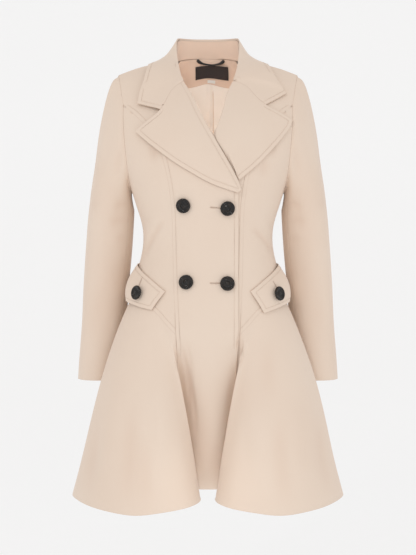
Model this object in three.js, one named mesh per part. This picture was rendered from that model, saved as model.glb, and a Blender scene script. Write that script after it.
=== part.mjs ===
import * as THREE from "three";

// A fitted double-breasted skater coat, filled out as worn and hollow inside.
// Millimetres, +Z up, front towards -Y, +X on the wearer's left. The origin lies between the
// shoulder seams at the height where the collar meets them, where the wearer carries the coat.

// Driving dimensions
const CLOTH = 2; // wall of the coat cloth with its facing
const THIN = 1.1; // wall of facing and lining
const RIBBON = 1; // wall of the label and its tag
const SEAM = 0.3; // gap between two pieces at a seam
const LAYER = 0.5; // gap between a lapel and the front under it
// How far the right front lies over the left one: it starts at one height, is full at the next,
// and fades out before the princess seam, above the hip in mm and below it as a part of the way
const LAP = { lift: 3.6, starts: -118, full: -152, fade: 22, skirtFade: 0.62 };
const BUTTON = { radius: 13.5, thick: 5.5, shank: 1.2 };
// The shoulder line: its tip, its mean slope to the neck and beyond it, how far it arches between
// them, the rounding below it, how far it is set back at the neck, and where its seam begins
const SHOULDER = {
  tipX: 174,
  tipZ: -18,
  neckX: 72,
  slope: 0.281,
  neckSlope: 1.5,
  arch: 5,
  round: 45,
  back: 15,
  seamX: 66,
};
const SQUARE = 2.4; // 2 gives elliptical sections, more gives squarer ones
const HIP_Z = -517; // lowest point of the hip seam, at the princess seam
const FLARE_EASE = { gain: 0.6, power: 1.8 }; // how much sooner than evenly the skirt flares

// Body sections, from the neck down
const TORSO = [
  { z: 80, width: 190, front: 10, back: 70 },
  { z: 28, width: 190, front: 10, back: 74 },
  { z: 0, width: 189, front: 14, back: 81 },
  { z: -20, width: 188, front: 24, back: 87 },
  { z: -43, width: 187, front: 41, back: 94 },
  { z: -82, width: 185, front: 69, back: 104 },
  { z: -120, width: 182, front: 94, back: 111 },
  { z: -180, width: 170, front: 120, back: 115 },
  { z: -235, width: 151, front: 127, back: 111 },
  { z: -277, width: 137.5, front: 122, back: 104 },
  { z: -324, width: 126, front: 113, back: 97 },
  { z: -350, width: 126, front: 111, back: 97 },
  { z: -400, width: 137, front: 114, back: 108 },
  { z: -430, width: 146, front: 117, back: 118 },
  { z: -457, width: 151, front: 119, back: 126 },
  { z: -517, width: 157, front: 119, back: 134 },
  { z: -560, width: 160, front: 119, back: 138 },
];

// Armhole edges, from the shoulder tip down to the underarm
const ARMHOLE = {
  front: [
    { x: SHOULDER.tipX, z: SHOULDER.tipZ },
    { x: 170.5, z: -35 },
    { x: 166, z: -58 },
    { x: 160.5, z: -84 },
    { x: 160, z: -119 },
    { x: 157, z: -156 },
    { x: 153.5, z: -193 },
    { x: 150.6, z: -220 },
    { x: 148.6, z: -239 },
    { x: 148, z: -248 },
  ],
  back: [
    { x: SHOULDER.tipX, z: SHOULDER.tipZ },
    { x: 171, z: -37 },
    { x: 167, z: -62 },
    { x: 163, z: -92 },
    { x: 161, z: -124 },
    { x: 158, z: -160 },
    { x: 154.5, z: -195 },
    { x: 151, z: -221 },
    { x: 148.8, z: -239 },
    { x: 148, z: -248 },
  ],
};

// Princess seams, from the armhole to the hip seam
const PRINCESS = {
  front: [
    { z: -85.5, x: 159.6 },
    { z: -104, x: 140 },
    { z: -130, x: 117 },
    { z: -160, x: 98 },
    { z: -193, x: 83 },
    { z: -226, x: 75 },
    { z: -262, x: 69 },
    { z: -300, x: 66 },
    { z: -345, x: 65 },
    { z: -390, x: 64 },
    { z: -430, x: 62.5 },
    { z: -475, x: 60.5 },
    { z: HIP_Z, x: 58.5 },
  ],
  back: [
    { z: -93.5, x: 162.2 },
    { z: -112, x: 146 },
    { z: -136, x: 128 },
    { z: -165, x: 111 },
    { z: -197, x: 97 },
    { z: -230, x: 86 },
    { z: -265, x: 77 },
    { z: -302, x: 71 },
    { z: -345, x: 68 },
    { z: -390, x: 67 },
    { z: -430, x: 65 },
    { z: -475, x: 62 },
    { z: HIP_Z, x: 60 },
  ],
};

// The edge of the side pieces away from the princess seam: the armhole, then the side seam
const SIDE_Z = [-248, -276, -312, -350, -390, -426, -457];

// Height of the hip seam from the princess seam (0) to the side seam (1)
const HIP_SEAM = [
  { part: 0, z: HIP_Z },
  { part: 0.08, z: -503 },
  { part: 0.17, z: -487 },
  { part: 0.28, z: -472 },
  { part: 0.5, z: -462 },
  { part: 0.75, z: -458 },
  { part: 1, z: -457 },
];

// Where the side pieces' first row meets the armhole, just below the princess seam
const SIDE_TOP = { front: { x: 160.5, z: -87 }, back: { x: 162.7, z: -95 } };

// Columns of the side and flare pieces, as parts of the way from princess seam to side seam
const SIDE_PARTS = [0, 0.05, 0.11, 0.17, 0.25, 0.34, 0.44, 0.55, 0.66, 0.76, 0.85, 0.92, 0.965, 1];
// Skirt rows, as parts of the way from the hip seam to the hem
const SKIRT_PARTS = [0.09, 0.2, 0.34, 0.5, 0.66, 0.83, 1];

// Hem edges. around: 0 is the centre, 1 the princess seam, 2 the side seam. settle over 1 brings
// a point to its hem depth early on the way down, under 1 late.
const HEM = {
  front: [
    { around: 0, x: 0, y: -26, z: -818, settle: 0.85 },
    { around: 0.5, x: 27, y: -27, z: -818, settle: 1.2 },
    { around: 0.8, x: 43, y: -31, z: -819, settle: 1.8 },
    { around: 1, x: 50, y: -44, z: -822, settle: 2.2 },
    { around: 1.05, x: 39, y: -58, z: -824, settle: 1.2 },
    { around: 1.11, x: 13, y: -74, z: -827, settle: 0.75 },
    { around: 1.17, x: 17, y: -98, z: -828, settle: 0.9 },
    { around: 1.25, x: 34, y: -127, z: -829, settle: 1.1 },
    { around: 1.4, x: 76, y: -154, z: -831.5, settle: 1.25 },
    { around: 1.55, x: 130, y: -164, z: -835, settle: 1.25 },
    { around: 1.69, x: 183, y: -150, z: -830, settle: 1.25 },
    { around: 1.8, x: 223, y: -116, z: -827, settle: 1.2 },
    { around: 1.88, x: 247, y: -76, z: -825, settle: 1.1 },
    { around: 1.94, x: 258, y: -44, z: -823, settle: 1 },
    { around: 2, x: 240, y: -14, z: -821, settle: 1 },
  ],
  back: [
    { around: 0, x: 0, y: 104, z: -822, settle: 1 },
    { around: 0.5, x: 30, y: 106, z: -822, settle: 1 },
    { around: 0.8, x: 50, y: 114, z: -823, settle: 1.2 },
    { around: 1, x: 60, y: 132, z: -824, settle: 1.2 },
    { around: 1.08, x: 66, y: 156, z: -826, settle: 1 },
    { around: 1.18, x: 88, y: 180, z: -828, settle: 1.1 },
    { around: 1.32, x: 130, y: 196, z: -829, settle: 1.2 },
    { around: 1.46, x: 178, y: 190, z: -828, settle: 1.25 },
    { around: 1.58, x: 219, y: 168, z: -826, settle: 1.2 },
    { around: 1.66, x: 236, y: 142, z: -824, settle: 1.1 },
    { around: 1.72, x: 229, y: 119, z: -823, settle: 1 },
    { around: 1.79, x: 203, y: 98, z: -822, settle: 1 },
    { around: 1.87, x: 186, y: 72, z: -821, settle: 1 },
    { around: 1.94, x: 182, y: 40, z: -821, settle: 1 },
    { around: 2, x: 240, y: -14, z: -821, settle: 1 },
  ],
};
const BACK_SIDE_PARTS = [0, 0.08, 0.16, 0.25, 0.34, 0.43, 0.52, 0.61, 0.7, 0.78, 0.85, 0.91, 0.96, 1];

// Sleeve sections: the middle, the half width and the half depth
const SLEEVE = [
  { z: -285, x: 189, y: 14, halfX: 44.3, halfY: 52 },
  { z: -350, x: 194.5, y: 24, halfX: 45.4, halfY: 49 },
  { z: -430, x: 202, y: 38, halfX: 44.8, halfY: 47 },
  { z: -520, x: 208.5, y: 44, halfX: 44.5, halfY: 45 },
  { z: -614, x: 216.5, y: 46, halfX: 42.3, halfY: 43 },
];

// Rows of the sleeve's tube, from the top of the straight part to the cuff
const TUBE_Z = [-285, -325, -370, -420, -470, -520, -566, -614];
// The cap leaves the armhole, whose middle this is, outwards, a little spread and downwards, and
// arrives at the tube along its lean. Handles and lean are given under and over the arm.
const SLEEVE_CAP = {
  parts: [0, 0.14, 0.32, 0.54, 0.78],
  middle: [160, 4, -140],
  out: 0.92,
  spread: 0.42,
  lift: 0.1,
  drop: 0.35,
  pull: { under: 0.13, over: 0.1 },
  arrive: { under: 0.25, over: 0.45 },
  lean: { under: [-0.02, -0.06, 1], over: [-0.12, -0.06, 1] },
};

// The V opening: the roll line on each front, from the shoulder to where it ends
const ROLL = {
  right: [
    { x: 74, z: 10 },
    { x: 67, z: -12 },
    { x: 54, z: -38 },
    { x: 30, z: -76 },
    { x: 14, z: -112 },
    { x: -6, z: -150 },
    { x: -27, z: -188 },
    { x: -46.5, z: -222 },
    { x: -54.6, z: -244 },
  ],
  left: [
    { x: 74, z: 10 },
    { x: 67, z: -12 },
    { x: 54, z: -36 },
    { x: 36, z: -70 },
    { x: 24, z: -114 },
    { x: 9.5, z: -150 },
    { x: -10, z: -188 },
    { x: -28, z: -222 },
    { x: -36, z: -244 },
  ],
};

// Lapels. Row by row from the gorge seam to the lower end: the roll line and the outer edge
const LAPEL = {
  right: {
    gorge: [
      { x: 46, z: -43 },
      { x: 62, z: -56 },
      { x: 74, z: -76 },
      { x: 87, z: -103 },
      { x: 110, z: -123 },
      { x: 133, z: -142 },
    ],
    rows: [
      { rollX: 29, rollZ: -77, edgeX: 110, edgeZ: -164 },
      { rollX: 14, rollZ: -113, edgeX: 86, edgeZ: -184 },
      { rollX: -8, rollZ: -155, edgeX: 60, edgeZ: -204 },
      { rollX: -26, rollZ: -187, edgeX: 33, edgeZ: -221 },
      { rollX: -42, rollZ: -215, edgeX: 3, edgeZ: -238 },
      { rollX: -54, rollZ: -238, edgeX: -25, edgeZ: -249 },
      { rollX: -59, rollZ: -251, edgeX: -54, edgeZ: -258 },
    ],
  },
  left: {
    gorge: [
      { x: 48, z: -38 },
      { x: 72, z: -51 },
      { x: 88, z: -71 },
      { x: 108, z: -90 },
      { x: 134, z: -103 },
      { x: 158, z: -116 },
    ],
    rows: [
      { rollX: 34, rollZ: -71, edgeX: 149, edgeZ: -136 },
      { rollX: 28, rollZ: -99, edgeX: 128, edgeZ: -164 },
      { rollX: 17, rollZ: -134, edgeX: 108, edgeZ: -187 },
      { rollX: 14, rollZ: -158, edgeX: 89, edgeZ: -207 },
      { rollX: 27, rollZ: -182, edgeX: 71, edgeZ: -223 },
      { rollX: 49, rollZ: -220, edgeX: 56, edgeZ: -236 },
    ],
  },
};

// Collar, from the middle of the back to its front end on each side: the neck seam, the fold
// and the outer edge of the fall
const COLLAR_BACK = [
  { seam: [0, 75.5, 30], fold: [0, 79, 72], edge: [0, null, 4] },
  { seam: [18, 74.5, 29.5], fold: [20, 78.5, 72], edge: [26, null, 3] },
  { seam: [35, 69, 28.5], fold: [38, 75, 71.8], edge: [52, null, -1] },
  { seam: [50, 59, 24.5], fold: [53.5, 67, 71], edge: [77, null, -5] },
  { seam: [60, 46, 19.5], fold: [62, 53, 66], edge: [96, null, -5] },
  { seam: [66, 34, 16], fold: [62.5, 39, 50], edge: [108, null, -1] },
];
const COLLAR_FRONT = {
  right: [
    { seam: [68, 22, 13], fold: [61, 24, 31], edge: [114.5, 12, 7.5] },
    { seam: [65, 7, 2], fold: [58, 5, 10], edge: [118, null, -14] },
    { seam: null, fold: [54, -17, -11], edge: [122, null, -38] },
    { seam: null, fold: [50.5, -33, -26], edge: [128, null, -61] },
    { seam: null, fold: [46.5, null, -40], edge: [131, null, -88] },
    { seam: null, fold: [46, null, -41], edge: [92, null, -103.5] },
  ],
  left: [
    { seam: [68, 22, 13], fold: [61, 24, 31], edge: [116, 12, 7.5] },
    { seam: [65, 7, 2], fold: [58.5, 5, 10], edge: [123, null, -14] },
    { seam: null, fold: [55, -17, -10], edge: [132, null, -34] },
    { seam: null, fold: [51.5, -32, -24], edge: [140, null, -49] },
    { seam: null, fold: [48, null, -37], edge: [148, null, -64] },
    { seam: null, fold: [47.5, null, -38.5], edge: [112, null, -89] },
  ],
};

// Pocket flap: its top and bottom edges round the hip, how far it bulges there, how far its top
// edge lies off the coat, and on its way to the back the angle past the side seam
const FLAP = [
  { topX: 77, topZ: -438, lowX: 102, lowZ: -471, bulge: 2, seat: 0.5, past: 0 },
  { topX: 90, topZ: -428, lowX: 112, lowZ: -469, bulge: 4, seat: 0.6, past: 0 },
  { topX: 103, topZ: -417, lowX: 122, lowZ: -467, bulge: 6, seat: 0.7, past: 0 },
  { topX: 116, topZ: -406, lowX: 132, lowZ: -464, bulge: 8.5, seat: 0.9, past: 0 },
  { topX: 126, topZ: -396, lowX: 141, lowZ: -461, bulge: 10, seat: 1.7, past: 0 },
  { topX: 131, topZ: -389, lowX: 147, lowZ: -458, bulge: 10, seat: 2.4, past: 0 },
  { topX: 133, topZ: -385, lowX: 148, lowZ: -454, bulge: 8, seat: 2.3, past: 0.12 },
  { topX: 133, topZ: -384, lowX: 146, lowZ: -450, bulge: 5, seat: 1.5, past: 0.3 },
  { topX: 133, topZ: -385, lowX: 144, lowZ: -446, bulge: 2.5, seat: 1.2, past: 0.46 },
];

const COLOURS = {
  cloth: new THREE.Color(0.86, 0.75, 0.66),
  inside: new THREE.Color(0.78, 0.65, 0.55),
  lining: new THREE.Color(0.88, 0.8, 0.72),
  black: new THREE.Color(0.02, 0.018, 0.018),
  label: new THREE.Color(0.05, 0.035, 0.035),
  white: new THREE.Color(0.92, 0.91, 0.89),
};

const coat = new THREE.Group();

const clamp01 = (value) => Math.min(1, Math.max(0, value));
const smooth = (from, to, value) => {
  const part = clamp01((value - from) / (to - from));
  return part * part * (3 - 2 * part);
};
const mix = (a, b, part) => a + (b - a) * part;
const vector = ([x, y, z]) => new THREE.Vector3(x, y, z);

// A smooth curve through a table's named column, looked up by another column
function lookUp(rows, by, name, at) {
  const sign = rows[rows.length - 1][by] > rows[0][by] ? 1 : -1;
  let i = 0;
  while (i < rows.length - 2 && (at - rows[i + 1][by]) * sign > 0) i += 1;
  const slope = (j) => (rows[j + 1][name] - rows[j][name]) / (rows[j + 1][by] - rows[j][by]);
  const tangent = (j) => {
    if (j === 0) return slope(0);
    if (j === rows.length - 1) return slope(j - 1);
    return slope(j - 1) * slope(j) <= 0 ? 0 : (slope(j - 1) + slope(j)) / 2;
  };
  const span = rows[i + 1][by] - rows[i][by];
  const u = clamp01((at - rows[i][by]) / span);
  const h1 = u * u * (3 - 2 * u);
  const rise = u * (1 - u) * ((1 - u) * tangent(i) - u * tangent(i + 1)) * span;
  return rows[i][name] * (1 - h1) + rows[i + 1][name] * h1 + rise;
}

// Body surface

function shoulderZ(x) {
  const { tipX, tipZ, neckX, slope, neckSlope, arch } = SHOULDER;
  const part = (tipX - x) / (tipX - neckX);
  if (part > 1) return tipZ + (tipX - neckX) * slope + (neckX - x) * neckSlope;
  return tipZ + (tipX - x) * slope + arch * Math.sin(Math.PI * Math.max(0, part));
}

// The shoulder seam runs a little further back at the neck than at the tip
const ridgeY = (x) =>
  SHOULDER.back * clamp01((SHOULDER.tipX - Math.abs(x)) / (SHOULDER.tipX - SHOULDER.neckX));

// The angle goes from 0 at the centre front to half a turn at the centre back
function angleAt(x, z, face) {
  const ratio = Math.min(1, Math.abs(x) / lookUp(TORSO, "z", "width", z));
  const angle = Math.asin(ratio ** (SQUARE / 2)) * Math.sign(x || 1);
  return face === "back" ? Math.PI - angle : angle;
}

function torsoPoint(angle, z) {
  const across = Math.sin(angle);
  const along = Math.cos(angle);
  const x = lookUp(TORSO, "z", "width", z) * Math.abs(across) ** (2 / SQUARE) * Math.sign(across);
  const depth = along > 0 ? -lookUp(TORSO, "z", "front", z) : lookUp(TORSO, "z", "back", z);
  const under = clamp01((shoulderZ(Math.abs(x)) - z) / SHOULDER.round);
  const round = Math.sqrt(1 - (1 - under) ** 2);
  return new THREE.Vector3(x, mix(ridgeY(x), depth * Math.abs(along) ** (2 / SQUARE), round), z);
}

// around: 0 is the centre, 1 the princess seam, 2 the side seam; negative past the centre
function hipPoint(around, face) {
  const seam = angleAt(lookUp(PRINCESS[face], "z", "x", HIP_Z), HIP_Z, face);
  const centre = face === "back" ? Math.PI : 0;
  const far = Math.abs(around);
  const angle = far < 1 ? mix(centre, seam, far) : mix(seam, Math.PI / 2, far - 1);
  const z = far < 1 ? HIP_Z : lookUp(HIP_SEAM, "part", "z", far - 1);
  return torsoPoint(around < 0 ? -angle : angle, z);
}

function skirtPoint(around, down, face) {
  const far = Math.abs(around);
  const side = around < 0 ? -1 : 1;
  const hip = hipPoint(far, face);
  const hem = (name) => lookUp(HEM[face], "around", name, far);
  const flare = down + FLARE_EASE.gain * down * (1 - down) ** FLARE_EASE.power;
  const ease = (part, power) => (power < 1 ? part ** (1 / power) : 1 - (1 - part) ** power);
  return new THREE.Vector3(
    side * mix(hip.x, hem("x"), flare),
    mix(hip.y, hem("y"), ease(down, hem("settle"))),
    mix(hip.z, hem("z"), down),
  );
}

// How far to each side of a spot its normal is measured: round the body and down it in mm, and
// in the skirt's own parts
const PROBE = { angle: 0.01, height: 1, around: 0.012, down: 0.02 };

function normalOf(surface, u, v, stepU, stepV) {
  const alongU = surface(u + stepU, v).sub(surface(u - stepU, v));
  const alongV = surface(u, v + stepV).sub(surface(u, v - stepV));
  return alongU.cross(alongV).normalize();
}

function torsoSpot(angle, z) {
  const normal = normalOf(torsoPoint, angle, z, PROBE.angle, PROBE.height);
  const point = torsoPoint(angle, z);
  const onRidge = Math.abs(point.y - ridgeY(point.x)) < 1;
  if (Math.abs(point.x) > SHOULDER.seamX && onRidge && z > SHOULDER.tipZ - 1) {
    const x = Math.abs(point.x);
    const fall = shoulderZ(x - PROBE.height) - shoulderZ(x + PROBE.height);
    normal.set((fall / (2 * PROBE.height)) * Math.sign(point.x), 0, 1).normalize();
  }
  return { point, normal, lift: 0 };
}

function skirtSpot(around, down, face) {
  const surface = (u, v) => skirtPoint(u, clamp01(v), face);
  const normal = normalOf(surface, around, down, PROBE.around, PROBE.down);
  if (face === "front") normal.negate();
  return { point: surface(around, down), normal, lift: 0 };
}

// A spot on the hip seam carries the mean normal of the pieces that meet there
function hipSpot(around, face) {
  const point = hipPoint(around, face);
  const upper = torsoSpot(angleAt(point.x, point.z, face), point.z);
  const lower = skirtSpot(around, 0, face);
  return { point, normal: upper.normal.clone().add(lower.normal).normalize(), lift: 0 };
}

// Walls

function addMesh(name, geometry, colour, roughness = 0.85) {
  const material = new THREE.MeshStandardMaterial({ color: colour, roughness, metalness: 0 });
  const mesh = new THREE.Mesh(geometry, material);
  mesh.name = name;
  coat.add(mesh);
  return mesh;
}

function closedGeometry(points, faces) {
  const volume = faces.reduce((sum, [a, b, c]) => {
    const cross = new THREE.Vector3().crossVectors(points[b], points[c]);
    return sum + points[a].dot(cross);
  }, 0);
  const index = faces.flatMap(([a, b, c]) => (volume > 0 ? [a, b, c] : [a, c, b]));
  const geometry = new THREE.BufferGeometry();
  const positions = points.flatMap((point) => point.toArray());
  geometry.setAttribute("position", new THREE.Float32BufferAttribute(positions, 3));
  geometry.setIndex(index);
  geometry.computeVertexNormals();
  return geometry;
}

// The border of a wall moves in by no more than this part of the way to the next row or column
const MAX_INSET = 0.3;

// A closed wall on a grid of spots. Its outer side is the spot's lift above the surface, and its
// border keeps half a seam's gap to the neighbour.
function wall(name, grid, { lift = 0, thick = CLOTH, colour = COLOURS.cloth, roughness } = {}) {
  const rows = grid.length;
  const columns = grid[0].length;
  const inset = (r, c) => {
    const shift = new THREE.Vector3();
    const towards = (r2, c2) => {
      const step = grid[r2][c2].point.clone().sub(grid[r][c].point);
      const reach = Math.min(SEAM / 2, step.length() * MAX_INSET);
      shift.add(step.normalize().multiplyScalar(reach));
    };
    if (r === 0) towards(1, c);
    if (r === rows - 1) towards(rows - 2, c);
    if (c === 0) towards(r, 1);
    if (c === columns - 1) towards(r, columns - 2);
    return shift;
  };
  const points = [];
  for (const depth of [0, thick]) {
    for (let r = 0; r < rows; r += 1) {
      for (let c = 0; c < columns; c += 1) {
        const spot = grid[r][c];
        const out = lift + spot.lift - depth;
        points.push(spot.point.clone().addScaledVector(spot.normal, out).add(inset(r, c)));
      }
    }
  }
  const inner = rows * columns;
  const at = (r, c) => r * columns + c;
  const faces = [];
  const quad = (a, b, c, d) => faces.push([a, b, c], [a, c, d]);
  // Walls that lie on each other are cut into triangles alike, along the shorter diagonal
  const shorter = (r, c) =>
    grid[r][c].point.distanceTo(grid[r + 1][c + 1].point) <
    grid[r][c + 1].point.distanceTo(grid[r + 1][c].point);
  for (let r = 0; r < rows - 1; r += 1) {
    for (let c = 0; c < columns - 1; c += 1) {
      const ring = [at(r, c), at(r, c + 1), at(r + 1, c + 1), at(r + 1, c)];
      const [a, b, d, e] = shorter(r, c) ? ring : [...ring.slice(1), ring[0]];
      quad(a, b, d, e);
      quad(a + inner, e + inner, d + inner, b + inner);
    }
  }
  for (let c = 0; c < columns - 1; c += 1) {
    quad(at(0, c + 1), at(0, c), at(0, c) + inner, at(0, c + 1) + inner);
    const last = rows - 1;
    quad(at(last, c + 1), at(last, c + 1) + inner, at(last, c) + inner, at(last, c));
  }
  for (let r = 0; r < rows - 1; r += 1) {
    quad(at(r, 0), at(r + 1, 0), at(r + 1, 0) + inner, at(r, 0) + inner);
    const last = columns - 1;
    quad(at(r, last), at(r, last) + inner, at(r + 1, last) + inner, at(r + 1, last));
  }
  return addMesh(name, closedGeometry(points, faces), colour, roughness);
}

const SIDES = [
  { name: "left", sign: 1 },
  { name: "right", sign: -1 },
];

const mirrored = (spot, sign) => ({
  point: new THREE.Vector3(spot.point.x * sign, spot.point.y, spot.point.z),
  normal: new THREE.Vector3(spot.normal.x * sign, spot.normal.y, spot.normal.z),
  lift: spot.lift,
});
const mirroredGrid = (grid, sign) => grid.map((row) => row.map((spot) => mirrored(spot, sign)));

// Steps that narrow a search to well under a hundredth of a millimetre
const HALVINGS = 24;

// A spot part of the way from one to another
const between = (a, b, part) => ({
  point: a.point.clone().lerp(b.point, part),
  normal: a.normal.clone().lerp(b.normal, part).normalize(),
  lift: mix(a.lift, b.lift, part),
});

// A spot inside a grid, by its row and column, which need not be whole
function gridSpot(grid, row, column) {
  const r = Math.min(Math.floor(row), grid.length - 2);
  const c = Math.min(Math.floor(column), grid[0].length - 2);
  const upper = between(grid[r][c], grid[r][c + 1], column - c);
  const lower = between(grid[r + 1][c], grid[r + 1][c + 1], column - c);
  return between(upper, lower, row - r);
}

// The value between low and high at which a rising function reaches its goal
function solve(goal, low, high, rising) {
  let [from, to] = [low, high];
  for (let i = 0; i < HALVINGS; i += 1) {
    const middle = (from + to) / 2;
    if (rising(middle) < goal) from = middle;
    else to = middle;
  }
  return from;
}

// The spot of a grid at one x, on one of its rows
function rowSpot(grid, row, x) {
  const column = solve(x, 0, grid[0].length - 1, (at) => gridSpot(grid, row, at).point.x);
  return gridSpot(grid, row, column);
}

// The spot of a front's grid at one x and z
function findSpot(grid, x, z) {
  const row = solve(-z, 0, grid.length - 1, (at) => -rowSpot(grid, at, x).point.z);
  return rowSpot(grid, row, x);
}

// Body pieces are worked out on the wearer's left and mirrored for the right

// How far the lapping front lies over the other one
function lapLift(x, z, seamX) {
  return LAP.lift * smooth(LAP.starts, LAP.full, z) * smooth(seamX, seamX - LAP.fade, x);
}

// Columns of the fronts, as parts of the way from the front edge to the princess seam
const FRONT_PARTS = {
  lapping: [0, 0.047, 0.13, 0.249, 0.482, 0.715, 0.896, 1],
  under: [0, 0.094, 0.375, 0.656, 0.8, 0.9, 0.956, 1],
};

function frontPanel(rollRows, lapping) {
  const grid = [];
  const outer = [...ARMHOLE.front.slice(0, 3), ...PRINCESS.front];
  const parts = lapping ? FRONT_PARTS.lapping : FRONT_PARTS.under;
  const last = rollRows[rollRows.length - 1];
  const inner = (i) => {
    if (i < rollRows.length) return rollRows[i];
    return { x: last.x, z: outer[i].z };
  };
  outer.forEach((seam, i) => {
    const edge = inner(i);
    const level = i < rollRows.length ? edge.z : seam.z;
    grid.push(
      parts.map((part) => {
        const x = mix(edge.x, seam.x, part);
        const z = i === 0 ? shoulderZ(x) : mix(level, seam.z, part);
        const spot =
          i === outer.length - 1
            ? hipSpot(hipAround(x), "front")
            : torsoSpot(angleAt(x, z, "front"), z);
        if (lapping) spot.lift = lapLift(x, z, seam.x);
        return spot;
      }),
    );
  });
  const edgeAround = hipAround(last.x);
  SKIRT_PARTS.forEach((down) => {
    grid.push(
      parts.map((part) => {
        const around = mix(edgeAround, 1, part);
        const spot = skirtSpot(around, down, "front");
        if (lapping) spot.lift = LAP.lift * smooth(1, LAP.skirtFade, around);
        return spot;
      }),
    );
  });
  return grid;
}

// Turns a distance from the centre on the hip line into the skirt's way of counting
function hipAround(x) {
  const seam = angleAt(lookUp(PRINCESS.front, "z", "x", HIP_Z), HIP_Z, "front");
  return angleAt(x, HIP_Z, "front") / seam;
}

// The back of the neck, from the centre to the shoulder seam
const BACK_NECK = [
  { x: 0, z: 28 },
  { x: 18, z: 27.8 },
  { x: 36, z: 26.5 },
  { x: 54, z: 21.5 },
  { x: 68, z: 12 },
];
const BACK_COLUMNS = 8;
// Rows between the shoulder seam and the first row below it
const YOKE_PARTS = [0.28, 0.52, 0.76];
// How far the first rows below the neck rise towards the centre
const BACK_RISE = [0, 20, 14, 8];

function backPanel() {
  const seams = [...ARMHOLE.back.slice(0, 3), ...PRINCESS.back];
  const lastNeck = BACK_NECK.length - 1;
  const places = seams.map((seam, i) =>
    Array.from({ length: BACK_COLUMNS + 1 }, (_, c) => {
      if (i === 0 && c <= lastNeck) return BACK_NECK[c];
      if (i === 0) {
        const x = mix(BACK_NECK[lastNeck].x, SHOULDER.tipX, (c - lastNeck) / (BACK_COLUMNS - lastNeck));
        return { x, z: shoulderZ(x) };
      }
      const part = c / BACK_COLUMNS;
      return { x: seam.x * part, z: seam.z + (BACK_RISE[i] ?? 0) * (1 - part) ** 2 };
    }),
  );
  const body = places.map((row, i) =>
    row.map(({ x, z }, c) =>
      i === places.length - 1 ? hipSpot(c / BACK_COLUMNS, "back") : torsoSpot(angleAt(x, z, "back"), z),
    ),
  );
  const yoke = YOKE_PARTS.map((part) =>
    places[0].map((top, c) => {
      if (c === BACK_COLUMNS) return between(body[0][c], body[1][c], part);
      const z = mix(top.z, places[1][c].z, part);
      return torsoSpot(angleAt(mix(top.x, places[1][c].x, part), z, "back"), z);
    }),
  );
  const skirt = SKIRT_PARTS.map((down) =>
    Array.from({ length: BACK_COLUMNS + 1 }, (_, c) => skirtSpot(c / BACK_COLUMNS, down, "back")),
  );
  return [body[0], ...yoke, ...body.slice(1), ...skirt];
}

function sidePanel(face, parts) {
  const armhole = [SIDE_TOP[face], ...ARMHOLE[face].slice(4, -1)];
  const far = [
    ...armhole.map(({ x, z }) => ({ angle: angleAt(x, z, face), z })),
    ...SIDE_Z.map((z) => ({ angle: Math.PI / 2, z })),
  ];
  return PRINCESS[face].map((seam, i) => {
    const start = angleAt(seam.x, seam.z, face);
    return parts.map((part) => {
      if (i === PRINCESS[face].length - 1) return hipSpot(1 + part, face);
      return torsoSpot(mix(start, far[i].angle, part), mix(seam.z, far[i].z, part));
    });
  });
}

// The front and back flares meet at the side with one normal between them
function sideSpot(down) {
  const spot = skirtSpot(2, down, "front");
  spot.normal.add(skirtSpot(2, down, "back").normal).normalize();
  return spot;
}

function flarePanel(face, parts) {
  return [
    parts.map((part) => hipSpot(1 + part, face)),
    ...SKIRT_PARTS.map((down) =>
      parts.map((part) => (part < 1 ? skirtSpot(1 + part, down, face) : sideSpot(down))),
    ),
  ];
}

function addBody() {
  wall("front_right", mirroredGrid(frontPanel(ROLL.right, true), -1));
  wall("front_left", frontPanel(ROLL.left, false));
  for (const side of SIDES) {
    wall(`side_front_${side.name}`, mirroredGrid(sidePanel("front", SIDE_PARTS), side.sign));
    wall(`flare_front_${side.name}`, mirroredGrid(flarePanel("front", SIDE_PARTS), side.sign));
    wall(`back_${side.name}`, mirroredGrid(backPanel(), side.sign));
    wall(`side_back_${side.name}`, mirroredGrid(sidePanel("back", BACK_SIDE_PARTS), side.sign));
    wall(`flare_back_${side.name}`, mirroredGrid(flarePanel("back", BACK_SIDE_PARTS), side.sign));
  }
}

// Sleeves: a cap that grows out of the armhole, then a tube to the cuff, in two halves

function sleeveColumns() {
  const ring = [
    ...ARMHOLE.front.map(({ x, z }) => torsoSpot(angleAt(x, z, "front"), z)),
    ...ARMHOLE.back.slice(1, -1).reverse().map(({ x, z }) => torsoSpot(angleAt(x, z, "back"), z)),
  ];
  ring.push(ring[0]);
  const underarm = ARMHOLE.front.length - 1;
  const length = (from, to) => {
    let sum = 0;
    for (let i = from; i < to; i += 1) sum += ring[i].point.distanceTo(ring[i + 1].point);
    return sum;
  };
  return ring.map((spot, i) => ({
    spot,
    turn:
      i <= underarm
        ? (Math.PI * length(0, i)) / length(0, underarm)
        : Math.PI + (Math.PI * length(underarm, i)) / length(underarm, ring.length - 1),
  }));
}

function sleeveTube(turn, z) {
  const at = (name) => lookUp(SLEEVE, "z", name, z);
  return new THREE.Vector3(
    at("x") + at("halfX") * Math.cos(turn),
    at("y") - at("halfY") * Math.sin(turn),
    z,
  );
}

// How far a turn round the arm is from the underarm (0) towards the shoulder (1)
const overArm = (turn) => 0.5 + 0.5 * Math.cos(turn);

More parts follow.
